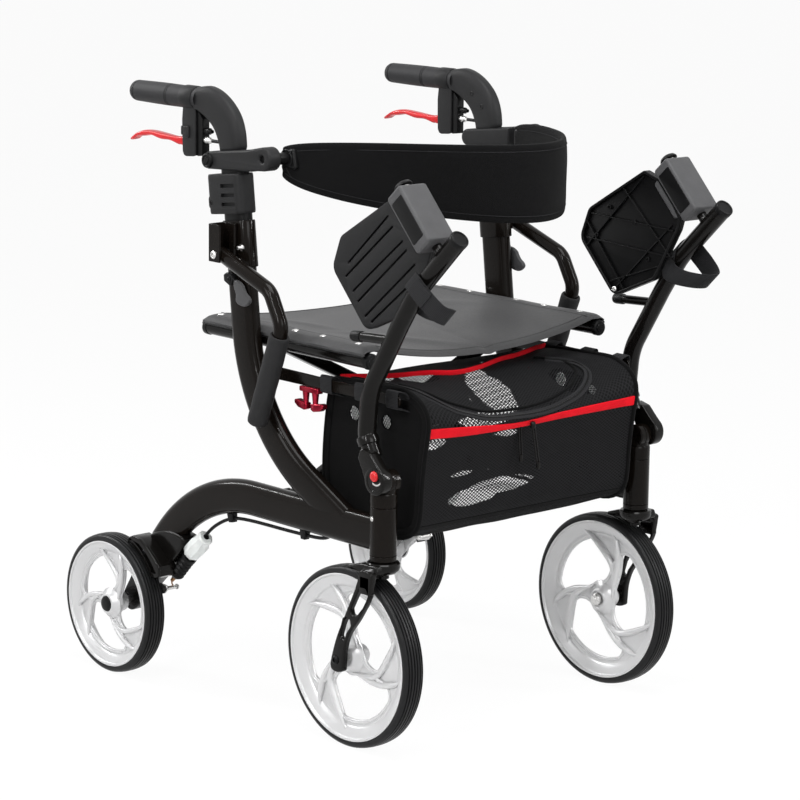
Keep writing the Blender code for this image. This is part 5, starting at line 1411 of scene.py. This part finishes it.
SEAT_FOLDS = (((0.225, 0.000), (0.06, -0.17), 0.0024, 0.016), ((0.2, 0.03), (0.02, 0.165), 0.0022, 0.018),
              ((-0.09, -0.175), (0.09, -0.12), 0.002, 0.014), ((-0.095, 0.1), (0.06, 0.18), 0.0018, 0.016),
              ((0.12, -0.19), (0.23, -0.135), 0.0018, 0.01), ((0.15, 0.19), (0.232, 0.12), 0.0018, 0.012))


def fold(x, y, start, end, width):
    """1 along a line, falling off softly to the sides and at its ends."""
    line = Vector(end) - Vector(start)
    offset = Vector((x, y)) - Vector(start)
    part = offset.dot(line) / line.length_squared
    if part <= 0 or part >= 1:
        return 0.0
    away = (offset - line * part).length
    return math.sin(math.pi * part) * math.exp(-(away / width) ** 2)


def seat_sling(settings):
    """The padded sling seat, folded over its rails, with its stitched hems, crease and rivets."""
    piece = Piece("seat_sling", "leatherette")
    rail_top = RAIL_Z + 0.0109
    half = 0.23
    inner = half - 0.0018
    stations, across = 70, 72
    rows = []
    for station in range(stations + 1):
        part = station / stations
        x = SEAT_X[0] + (SEAT_X[1] - SEAT_X[0]) * part
        to_end = min(station, stations - station)
        ease = (0.3, 0.78, 0.95)[to_end] if to_end < 3 else 1.0
        upper, under = [], []
        for step in range(across + 1):
            side = -1 + 2 * step / across
            y = side * half
            edge = max(0.0, (abs(y) - 0.212) / (half - 0.212))
            pad = 0.0085 * math.sqrt(max(0.0, 1 - edge ** 2.4)) + 0.0004
            lift = 0.0009 * math.exp(-((abs(y) - 0.203) / 0.0022) ** 2)
            base = rail_top - seat_dip(x, y) * settings.seat_sag
            upper.append(at(x, y, base + pad * ease + lift))
            under.append(at(x, y, base + (1 - ease) * 0.0034))
        hems = []
        for way in (1, -1):
            wave = 0.0009 * math.sin(x * 61 + way) + 0.0005 * math.sin(x * 173)
            low = rail_top - 0.0045 + wave
            swing = 0.0004 * math.sin(x * 90 + way * 2)
            hems.append([at(x, way * (half + swing), low + 0.003), at(x, way * (half + swing), low),
                         at(x, way * (inner + swing), low), at(x, way * inner, rail_top - 0.001)])
        rows.append(upper + hems[0] + under[1:-1][::-1] + hems[1][::-1])
    piece.skin(rows, closed=True, ends=True)

    def on_top(x, y, lift):
        return at(x, y, rail_top - seat_dip(x, y) * settings.seat_sag + lift)

    for way in (-1, 1):
        start, reach = SEAT_X[0] + 0.004, SEAT_X[1] - SEAT_X[0] - 0.008
        piece.tube([on_top(start + reach * step / 59, way * 0.199, 0.0089) for step in range(60)], 0.0006, 6)
    for x in (SEAT_X[0] + 0.01, SEAT_X[1] - 0.012):
        piece.tube([on_top(x, -0.196 + 0.392 * step / 80, 0.0088) for step in range(81)], 0.0007, 6)
    piece.use("dark_plastic")
    for way in (-1, 1):
        edge = [at(SEAT_X[0] + (SEAT_X[1] - SEAT_X[0]) * step / 60, way * (half - 0.0006), rail_top - 0.004)
                for step in range(61)]
        piece.tube(edge, 0.0016, 8)
    piece.use("plated_steel")
    for way in (-1, 1):
        for x in (-0.094, -0.028, 0.072, 0.131, 0.205):
            place = at(x, way * 0.212, rail_top + 0.0082)
            piece.lathe(mm((5.2, -1), (5.2, 0.4), (4.4, 1.4), (2.8, 2), (0, 2.2)), place, (0, way * 0.12, 1),
                        20)
    made = piece.done(None, "seat_leatherette", "seat")
    at(0.06, -0.205, 0.54)
    at(0.06, 0.205, 0.54)
    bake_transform(made)
    return made


# Back strap.

STRAP_FRONT_X = 0.335
STRAP_CORNER_Y = 0.12
HEM = 0.0095


def strap_point(place):
    """A point in plan on the strap's bow, from one pivot (-1) to the other (1)."""
    side = 1 if place > 0 else -1
    part = 1 - abs(place)
    end = Vector((STRAP_PIVOT[0] - 0.009, side * STRAP_SPAN))
    corner = Vector((STRAP_FRONT_X, side * STRAP_CORNER_Y))
    front = Vector((STRAP_FRONT_X, 0.0))
    return end * (1 - part) ** 2 * (1 + 2 * part) + corner * 3 * (1 - part) * part ** 2 + front * part ** 3


def strap_edges(place):
    """The strap's upper and lower edge."""
    middle = 1 - abs(place)
    return 0.804 + 0.018 * (1 - (1 - middle) ** 3), 0.769 - 0.0545 * (1 - (1 - middle) ** 1.9)


def strap_frame(place):
    """The strap's middle point, in plan, and the direction out of its front face."""
    here = strap_point(place)
    slope = strap_point(min(place + 0.01, 1.0)) - strap_point(max(place - 0.01, -1.0))
    return here, Vector((slope.y, -slope.x, 0.0)).normalized()


def strap_spot(place, z, out):
    """A point at a height, and at a distance out from the middle of the strap's thickness."""
    here, normal = strap_frame(place)
    return at(here.x, here.y, z) + normal * out


def back_strap(settings):
    """The padded back strap: hems, stitching, a curved seam near each end and soft gathers."""
    piece = Piece("back_strap", "strap_cloth")
    stations = 168
    section = squared(56, 0.42, 0.5)
    half_thick = settings.strap_thickness / 2
    rows = []
    for station in range(stations + 1):
        place = -1 + 2 * station / stations
        middle = 1 - abs(place)
        here, normal = strap_frame(place)
        top, low = strap_edges(place)
        centre = (top + low) / 2
        taper = min(1.0, 0.35 + middle * 22)
        half = (top - low) / 2 * (1 if middle > 0 else 0.8)
        thick = half_thick * taper
        gather = max(0.0, 1 - middle / 0.16)
        row = []
        for across, upright in section:
            height = upright * half
            out = across * thick
            from_edge = half - abs(height)
            groove = 0.0006 * math.exp(-((from_edge - HEM) / 0.0016) ** 2) if half > 0.02 else 0.0
            out -= math.copysign(groove, out) if abs(out) > thick * 0.6 else 0.0
            soft = 0.001 * noise.noise(Vector((place * 7, height * 26, 1.7)))
            pucker = gather * 0.0014 * math.sin(height * 420 + place * 9)
            row.append(at(here.x, here.y, centre + height) + normal * (out + soft + pucker))
        rows.append(row)
    piece.skin(rows, closed=True, ends=True)
    piece.use("stitching")
    for face in (1, -1):
        for edge in (0, 1):
            thread = []
            for step in range(121):
                place = -0.93 + 1.86 * step / 120
                top, low = strap_edges(place)
                z = top - HEM if edge == 0 else low + HEM
                thread.append(strap_spot(place, z, face * (half_thick - 0.0009)))
            piece.tube(thread, 0.00045, 5)
    for s in (-1, 1):
        seam = []
        for step in range(25):
            part = step / 24
            place = s * (0.86 + 0.055 * math.sin(math.pi * part))
            top, low = strap_edges(place)
            seam.append(strap_spot(place, low + 0.01 + (top - low - 0.02) * part, half_thick + 0.0001))
        piece.tube(seam, 0.0005, 5)
    piece.use("dark_plastic")
    for s in (-1, 1):
        tab = mm((3, 0), (11.8, 0), (12.8, 1), (12.8, 6.2), (11.6, 7.4), (5, 7.6), (4.4, 6.4), (0, 6.4))
        piece.knob(tab, STRAP_PIVOT, s * 0.2262, -s, 30)
        sleeve = fillet(mm((56, 779.5), (56, 803), (80, 806), (86, 776.5)), 0.004, True, 4)
        piece.slab(sleeve, s * 0.215, s * 0.225, 0.0034, rounds=3)
    made = piece.done("backrest", "black_cloth", "backrest")
    at(0.0, -STRAP_SPAN, 0.79)
    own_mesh(made)
    return made


# Bag.

BAG_HALF = 0.198
BAG_VENTS = ((0.184, 0.451), (0.25, 0.449))
BAG_BACK = mm((306, 304), (275, 292.5), (205, 293), (140, 296), (125, 316), (121, 356), (121, 388),
              (125, 432), (133, 478), (142, 492.5))
BAG_FRONT = mm((142, 492.5), (180, 495.5), (230, 497.5), (278, 498.5), (298, 495), (318, 486), (331, 472),
               (334.5, 455), (331, 431), (326.5, 403), (322.5, 368), (321, 340), (317, 319), (306, 304))
BAG_WINDOWS = [(at(*centre), radii) for centre, radii in (((0.329, -0.092, 0.451), (0.03, 0.068, 0.01)),
        ((0.329, -0.046, 0.425), (0.03, 0.028, 0.0055)), ((0.329, -0.181, 0.429), (0.03, 0.022, 0.0085)),
        ((0.318, -0.099, 0.343), (0.03, 0.052, 0.014)), ((0.318, -0.046, 0.352), (0.03, 0.072, 0.013)),
        ((0.322, -0.124, 0.379), (0.03, 0.026, 0.004)), ((0.325, 0.119, 0.47), (0.03, 0.016, 0.012)),
        ((0.275, -0.03, 0.47), (0.06, 0.04, 0.04)), ((0.29, 0.106, 0.478), (0.036, 0.026, 0.03)),
        ((0.225, -0.119, 0.492), (0.026, 0.036, 0.02)), ((0.232, -0.021, 0.492), (0.02, 0.02, 0.02)),
        ((0.205, -0.165, 0.492), (0.018, 0.018, 0.02)))]
BAG_ZIP = mm((142, -186), (260, -188), (305, -160), (324, -100), (327.5, -30), (325.5, 40), (317, 100),
             (295, 140), (260, 145), (230, 118))


def ease(value, low, high):
    part = min(1.0, max(0.0, (value - low) / (high - low)))
    return part * part * (3 - 2 * part)


def bag_point(x, y, z):
    """A point of the bag's outline at a distance from the middle, where the cloth hangs."""
    slack = max(0.0, 1 - (abs(y) / BAG_HALF) ** 2.0)
    top = min(1.0, max(0.0, (z - 0.43) / 0.056))
    drop = 0.036 * slack * top * ease(x, 0.215, 0.318)
    inward = 0.0075 * slack * ease(x, 0.25, 0.31) * (1 - top)
    wave = 0.0026 * noise.noise(Vector((x * 9, y * 16, z * 15))) * min(1.0, slack * 3)
    crease = 0.003 * slack * math.exp(-((z - 0.372 - 0.1 * (y + 0.05)) / 0.012) ** 2) * ease(x, 0.28, 0.31)
    sag = 0.005 * slack * ease(0.31 - z, 0.0, 0.012)
    return at(x - inward + wave - crease, y, z - drop + wave - sag)


def bag_rows(points):
    """The bag's cloth over part of its outline."""
    loop = smooth(points, 5)
    rows = []
    stations = 72
    for station in range(stations + 1):
        y = BAG_HALF * (-1 + 2 * station / stations)
        rows.append([bag_point(point.x, y, point.y) for point in loop])
    return rows


def bag_front_place(y, z):
    """The point of the bag's front cloth at a height, for what is sewn on it."""
    row = [bag_point(point.x, y, point.y) for point in smooth(BAG_FRONT[5:], 6)]
    for first, second in zip(row, row[1:]):
        if second.z <= z <= first.z:
            return first.lerp(second, (first.z - z) / max(first.z - second.z, 1e-9))
    return min(row, key=lambda point: abs(point.z - z))


def bag_lid_place(x, y):
    """The point of the bag's lid above a place in plan, and the way up there."""
    row = [bag_point(point.x, y, point.y) for point in smooth(BAG_FRONT[:9], 8)]
    for first, second in zip(row, row[1:]):
        if first.x - SHIFT <= x <= second.x - SHIFT:
            part = (x + SHIFT - first.x) / max(second.x - first.x, 1e-9)
            return first.lerp(second, part)
    return max(row, key=lambda point: point.x)


def ribbon(piece, centre_line, width, proud):
    """A band sewn on the bag's front: it takes pairs of (y, upper, lower) heights."""
    rows = []
    for y, upper, lower in centre_line:
        marks = (upper, upper - width, (upper + lower) / 2, lower + width, lower)
        row = []
        for index, z in enumerate(marks):
            point = bag_front_place(y, z)
            out = proud * (0.2 if index in (0, 4) else 1.0)
            row.append(point + Vector((out, 0, 0)))
        rows.append(row)
    piece.skin(rows)


def shopping_bag():
    """The bag under the seat: net front and lid, closed side panels with vents, piping, stripe and zip."""
    cloth = Piece("bag_net", "net_patches")
    cloth.skin(bag_rows(BAG_FRONT))
    cloth.use("bag_cloth")
    cloth.skin(bag_rows(BAG_BACK[:3]))
    cloth.use("net_open")
    cloth.skin(bag_rows(BAG_BACK[2:]))
    outline = smooth(BAG_FRONT[:-1] + BAG_BACK[:-1], 4, True)
    vents = [arc(centre, 0.01, 0, 350, 35) for centre in BAG_VENTS]
    trim = Piece("bag_side_panels", "bag_cloth")
    for s in (-1, 1):
        trim.use("bag_cloth")
        trim.slab(outline, s * 0.1968, s * 0.1992, 0.0009, vents)
        border = inset(outline, 0.011)
        trim.slab(inset(outline, 0.001), s * 0.1985, s * 0.2008, 0.0011, [border], 3)
        trim.tube([at(x, s * 0.1984, z) for x, z in outline + outline[:1]], 0.0034, 12)
        trim.tube([at(x, s * 0.199, z) for x, z in [*border, border[0]]], 0.0007, 6)
        for centre in BAG_VENTS:
            trim.use("bag_cloth")
            trim.lathe(mm((9.8, -0.4), (11.2, -0.2), (11.8, 0.6), (11.2, 1), (10, 1)),
                       at(centre[0], s * 0.199, centre[1]), (0, s, 0), 36)
            trim.use("net_open")
            disc = [[at(centre[0] + radius * math.cos(math.radians(turn)), s * 0.198,
                        centre[1] + radius * math.sin(math.radians(turn))) for turn in range(0, 360, 10)]
                    for radius in (0.0104, 0.007, 0.0035, 0.0002)]
            for row, after in zip(disc, disc[1:]):
                flat_rows(trim, row, after)
            trim.use("clear_plastic")
            trim.lathe(mm((9.8, 0), (9.8, 0.4), (0, 0.4), (0, 0)), at(centre[0], s * 0.1958, centre[1]),
                       (0, s, 0), 24)
    trim.use("webbing")
    for s in (-1, 1):
        for x in (0.15, 0.222, 0.286):
            loop = [(s * 0.197, 0.482), (s * 0.205, 0.495), (s * 0.2155, 0.499), (s * 0.2215, 0.4985),
                    (s * 0.2222, 0.486), (s * 0.2205, 0.4765), (s * 0.213, 0.476), (s * 0.1985, 0.47)]
            trim.sweep([at(x, point.x, point.y) for point in smooth(loop, 4)],
                       rounded(0.0014, 0.024, 0.0005, 2), side=(1, 0, 0))
    stripe = Piece("bag_stripe", "red_cloth")
    heights = smooth(mm((-196, 452, 438), (-119, 446, 432.5), (-29, 439.5, 430.5), (52, 444, 433),
            (130, 447.5, 435), (170, 449, 436), (196.5, 450, 436)), 12)
    ribbon(stripe, heights, 0.0012, 0.0016)
    edge = mm((150, -196), (203, -154), (220, -110), (235, -60), (219, 12), (183, 122), (150, 196))
    rim = [bag_lid_place(point.x, point.y) + Vector((0, 0, 0.003)) for point in smooth(edge, 10)]
    stripe.sweep(rim, rounded(0.003, 0.007, 0.001, 2), side=(0.1, 0, 1))
    zipper = Piece("bag_zip", "webbing")
    line = [bag_lid_place(point.x, point.y) + Vector((0.0006, 0, 0.001)) for point in smooth(BAG_ZIP, 10)]
    zipper.sweep(line, rounded(0.012, 0.0022, 0.0008, 2), side=(0.55, 0, 0.83))
    zipper.use("dark_plastic")
    zipper.tube([point + Vector((0.0008, 0, 0.0012)) for point in line], 0.0013, 8)
    zipper.use("bag_cloth")
    inner = [bag_lid_place(point.x - 0.014, point.y * 0.93) + Vector((0, 0, 0.0006))
             for point in smooth(BAG_ZIP[1:], 10)]
    zipper.tube(inner, 0.0022, 8)
    hem = smooth(mm((-196, 314, 306), (-100, 312, 304), (0, 311, 303), (100, 312, 303.5), (196, 313, 305)),
                 14)
    ribbon(zipper, hem, 0.001, 0.0012)
    zipper.use("gloss_black")
    for y, z, lean in ((-0.022, 0.45, 0.005), (-0.004, 0.438, 0.012)):
        top = bag_front_place(y, z) + Vector((0.003, 0, 0))
        tag = [top + Vector((0.001, lean * part, -0.062 * part)) for part in (0, 0.12, 0.3, 0.6, 1.0)]
        zipper.tube([point + Vector((0, 0.0022, 0)) for point in tag], 0.0009, 8)
        zipper.tube([point - Vector((0, 0.0022, 0)) for point in tag], 0.0009, 8)
        zipper.lathe(mm((0, 0), (3.4, 0.6), (4, 2.5), (4, 7.5), (3, 9.5), (0, 10)),
                     top + Vector((0, lean * 0.1, -0.01)), (0, 0, 1), 16)
        zipper.lathe(mm((0, 0), (2.6, 0.6), (3, 4), (2.4, 10), (0, 11)), tag[-1] - Vector((0, 0, 0.006)),
                     (0, 0, 1), 16)
    made = [cloth.done("right_side", "black_cloth", "bag")]
    made += [piece.done("right_side", "black_cloth") for piece in (trim, stripe, zipper)]
    for piece in made:
        at(0.0, -BAG_HALF, 0.4)
        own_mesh(piece)
    return made


def flat_rows(piece, row, after):
    """One ring of a flat net, mapped by its own place."""
    count = len(row)
    first = [piece.shape.verts.new(point) for point in row]
    second = [piece.shape.verts.new(point) for point in after]
    piece.shape.verts.index_update()
    for index in range(count):
        corners = (first[index], first[(index + 1) % count], second[(index + 1) % count], second[index])
        piece.face(corners, [(corner.co.x, corner.co.z) for corner in corners])


# Stage.

FLOOR_GLOW = 0.95
FLOOR_SIZE = 14.0
CAMERA_PLACE = (3.2941, -2.896, 1.2916)
CAMERA_TURN = (math.radians(-41.793), math.radians(11.291), math.radians(0.694))
CAMERA_LENS = 138.05
LAMP_AIM = Vector((0.0, 0.0, 0.45))


def stage_floor(settings):
    """A plain white floor that keeps the shadow of what stands on it."""
    look = Look("studio_floor", settings.floor_colour[:], 0.9)
    ground = look.grain(0.8, 3.0)
    look.mottle(ground, settings.floor_colour, 0.985, 1.0)
    glow = look.node("ShaderNodeEmission", {}, {"Color": (1, 1, 1, 1), "Strength": 1.0})
    mix = look.node("ShaderNodeMixShader", {}, {0: look.white_rays() * FLOOR_GLOW, 1: look.shader.outputs[0],
            2: glow.outputs[0]})
    output = look.tree.nodes["Material Output"]
    look.tree.links.new(mix.outputs[0], output.inputs["Surface"])
    mesh = bpy.data.meshes.new("floor")
    shape = bmesh.new()
    bmesh.ops.create_grid(shape, x_segments=4, y_segments=4, size=FLOOR_SIZE)
    shape.to_mesh(mesh)
    shape.free()
    mesh.materials.append(look.material)
    floor = bpy.data.objects.new("floor", mesh)
    bpy.context.scene.collection.objects.link(floor)
    floor.location.z = CAD_BOX[0][2]


def stage_world(settings):
    """A white surround for the camera, glass and gloss, and a dim one for the light."""
    world = bpy.data.worlds.new("studio")
    world.use_nodes = True
    nodes = Nodes(world.node_tree)
    background = nodes.tree.nodes["Background"]
    nodes.feed(background.inputs["Color"], (1, 1, 1, 1))
    nodes.feed(background.inputs["Strength"], nodes.white_rays() * (1 - settings.surround)
               + settings.surround)
    bpy.context.scene.world = world


def stage_lamps(settings):
    """Soft lamps above, in front and behind, and narrow strips that draw bright lines on gloss."""
    for name, place, width, height, power in (("overhead", (0.6, -0.3, 2.8), 1.6, 1.6, 66),
            ("front", (2.6, -0.6, 1.5), 1.2, 1.2, 22), ("near_side", (-0.4, -2.8, 1.7), 1.0, 1.0, 20),
            ("strip_left", (0.9, -2.4, 1.9), 0.06, 1.8, 40), ("strip_right", (2.2, 1.6, 1.8), 0.06, 1.8, 40),
            ("strip_behind", (-1.9, -0.9, 1.9), 0.08, 1.8, 34)):
        data = bpy.data.lights.new(name, "AREA")
        data.shape = "RECTANGLE"
        data.size = width
        data.size_y = height
        data.energy = power * settings.lamp_power
        lamp = bpy.data.objects.new(name, data)
        lamp.location = place
        aim = LAMP_AIM - Vector(place)
        lamp.rotation_euler = aim.to_track_quat("-Z", "Y").to_euler()
        bpy.context.scene.collection.objects.link(lamp)


def stage_camera():
    """The photograph's viewpoint."""
    yaw, pitch, roll = CAMERA_TURN
    back = Vector((math.cos(pitch) * math.cos(yaw), math.cos(pitch) * math.sin(yaw), math.sin(pitch)))
    right = Vector((-math.sin(yaw), math.cos(yaw), 0.0))
    up = back.cross(right)
    tilted_right = math.cos(roll) * right + math.sin(roll) * up
    tilted_up = -math.sin(roll) * right + math.cos(roll) * up
    turn = Matrix((tilted_right, tilted_up, back)).transposed().to_4x4()
    data = bpy.data.cameras.new("camera")
    data.sensor_width = 36
    data.lens = CAMERA_LENS
    data.clip_end = 60
    camera = bpy.data.objects.new("camera", data)
    bpy.context.scene.collection.objects.link(camera)
    camera.matrix_world = Matrix.Translation(at(*CAMERA_PLACE)) @ turn
    bpy.context.scene.camera = camera


# Settings, operators and panel.

def colour_setting(name, description, default):
    return bpy.props.FloatVectorProperty(name=name, description=description, subtype="COLOR", size=3, min=0,
            max=1, default=default)


def both_sides(*builders):
    """Builds pieces on the right side and then on the left, and gives an operator's answer."""
    for s, side in SIDES:
        for build in builders:
            build(s, side)
    return {"FINISHED"}


class WalkerSettings(bpy.types.PropertyGroup):
    """Colours and sizes that a user would change."""

    # The warm cast of this frame colour is a painted reflection of brownish surroundings in the gloss paint.
    frame_colour: colour_setting("Frame paint", "Colour of the painted tubes", (0.0046, 0.0035, 0.0028))
    plastic_colour: colour_setting("Mouldings", "Colour of the grained mouldings", (0.012, 0.012, 0.0125))
    rim_colour: colour_setting("Rims", "Colour of the cast wheels", (0.55, 0.55, 0.555))
    red_colour: colour_setting("Levers", "Colour of the brake levers and buttons", (0.47, 0.006, 0.009))
    seat_colour: colour_setting("Seat", "Colour of the seat's coated cloth", (0.052, 0.052, 0.053))
    cloth_colour: colour_setting("Cloth", "Colour of the strap and the bag", (0.0042, 0.0042, 0.0044))
    floor_colour: colour_setting("Floor", "Colour of the studio floor", (0.92, 0.92, 0.92))
    seat_sag: bpy.props.FloatProperty(name="Seat sag",
            description="How far the seat hangs, against its drawing", default=1.0, min=0.0, max=1.5,
            subtype="FACTOR")
    strap_thickness: bpy.props.FloatProperty(name="Strap thickness",
            description="Thickness of the back strap", default=0.011, min=0.004, max=0.02, unit="LENGTH")
    bag_fold: bpy.props.FloatProperty(name="Folded bag",
            description="Share of the bag's width left when folded", default=0.475, min=0.1, max=1.0,
            subtype="FACTOR")
    surround: bpy.props.FloatProperty(name="Surround", description="Strength of the light from all round",
            default=0.12, min=0.0, max=2.0)
    lamp_power: bpy.props.FloatProperty(name="Lamps", description="Strength of the soft lamps", default=1.0,
            min=0.0, max=4.0)


class WALKER_OT_finishes(bpy.types.Operator):
    """Make every finish of the walker"""
    bl_idname = "walker.finishes"
    bl_label = "Finishes"

    def execute(self, context):
        make_looks(context.scene.walker)
        return {"FINISHED"}


class WALKER_OT_frames(bpy.types.Operator):
    """Build the two welded side frames, their clamps, armrest channels, bag bars and hooks"""
    bl_idname = "walker.frames"
    bl_label = "Side frames"

    def execute(self, context):
        return both_sides(frame_tubes, armrest_bracket, clamp_collar, side_bar, bag_hooks)


class WALKER_OT_handles(bpy.types.Operator):
    """Build the height tubes, swan necks, grips, brake housings and levers, and strap arms"""
    bl_idname = "walker.handles"
    bl_label = "Handles and brake levers"

    def execute(self, context):
        return both_sides(handle_tube, swan_neck, hand_grip, brake_housing, brake_lever, strap_bracket)


class WALKER_OT_armrests(bpy.types.Operator):
    """Build the armrests with their foam sleeves and catches"""
    bl_idname = "walker.armrests"
    bl_label = "Armrests"

    def execute(self, context):
        return both_sides(armrest_tube, armrest_foam, armrest_lever)


class WALKER_OT_wheels(bpy.types.Operator):
    """Build the four wheels, the caster forks and the rear carriers"""
    bl_idname = "walker.wheels"
    bl_label = "Wheels, forks and carriers"

    def execute(self, context):
        for s, side in SIDES:
            caster_fork(s, side)
            rear_mount(s, side)
            for end, axle, y, radius, face, turn in (("front_", FRONT_AXLE, FRAME_Y, FRONT_AXLE[1], -1,
                    FRONT_TURN[s]), ("rear_", REAR_AXLE, REAR_WHEEL_Y, REAR_AXLE[1], s, REAR_TURN[s])):
                name = side + end
                wheel(name, (axle[0], s * y, axle[1]), radius, face, turn, name + "wheel",
                      (name + "tyre", name + "rim"), end == "rear_")
        return {"FINISHED"}


class WALKER_OT_brakes(bpy.types.Operator):
    """Build the brake arms with their shoes, the cables and their adjusters"""
    bl_idname = "walker.brakes"
    bl_label = "Brakes and cables"

    def execute(self, context):
        return both_sides(brake_shoe, brake_cable, cable_adjuster)


class WALKER_OT_footrests(bpy.types.Operator):
    """Build the footrests with their plates, buttons and heel straps"""
    bl_idname = "walker.footrests"
    bl_label = "Footrests"

    def execute(self, context):
        return both_sides(footrest_arm, release_button, footplate, heel_strap)


class WALKER_OT_brace(bpy.types.Operator):
    """Build the cross brace with its seat rails"""
    bl_idname = "walker.brace"
    bl_label = "Cross brace"

    def execute(self, context):
        return both_sides(cross_brace)


class WALKER_OT_seat(bpy.types.Operator):
    """Build the sling seat"""
    bl_idname = "walker.seat"
    bl_label = "Seat"

    def execute(self, context):
        seat_sling(context.scene.walker)
        return {"FINISHED"}


class WALKER_OT_strap(bpy.types.Operator):
    """Build the padded back strap"""
    bl_idname = "walker.strap"
    bl_label = "Back strap"

    def execute(self, context):
        back_strap(context.scene.walker)
        return {"FINISHED"}


class WALKER_OT_bag(bpy.types.Operator):
    """Build the bag under the seat"""
    bl_idname = "walker.bag"
    bl_label = "Bag"

    def execute(self, context):
        shopping_bag()
        return {"FINISHED"}


class WALKER_OT_stage(bpy.types.Operator):
    """Set up the floor, the surround, the lamps and the camera"""
    bl_idname = "walker.stage"
    bl_label = "Stage"

    def execute(self, context):
        context.scene.view_settings.view_transform = "Standard"
        stage_floor(context.scene.walker)
        stage_world(context.scene.walker)
        stage_lamps(context.scene.walker)
        stage_camera()
        return {"FINISHED"}


STEPS = (WALKER_OT_finishes, WALKER_OT_frames, WALKER_OT_handles, WALKER_OT_armrests, WALKER_OT_wheels,
         WALKER_OT_brakes, WALKER_OT_footrests, WALKER_OT_brace, WALKER_OT_seat, WALKER_OT_strap,
         WALKER_OT_bag, WALKER_OT_stage)


class WALKER_PT_panel(bpy.types.Panel):
    """Lists the walker's settings and the steps that build it"""
    bl_idname = "WALKER_PT_panel"
    bl_label = "Folding walker"
    bl_space_type = "VIEW_3D"
    bl_region_type = "UI"
    bl_category = "Walker"

    def draw(self, context):
        for name in WalkerSettings.__annotations__:
            self.layout.prop(context.scene.walker, name)
        for step in STEPS:
            self.layout.operator(step.bl_idname)


def register():
    for kind in (WalkerSettings, *STEPS, WALKER_PT_panel):
        bpy.utils.register_class(kind)
    bpy.types.Scene.walker = bpy.props.PointerProperty(type=WalkerSettings)


def unregister():
    del bpy.types.Scene.walker
    for kind in reversed((WalkerSettings, *STEPS, WALKER_PT_panel)):
        bpy.utils.unregister_class(kind)


def main():
    register()
    for step in STEPS:
        group, name = step.bl_idname.split(".")
        getattr(getattr(bpy.ops, group), name)()


if __name__ == "__main__":
    main()
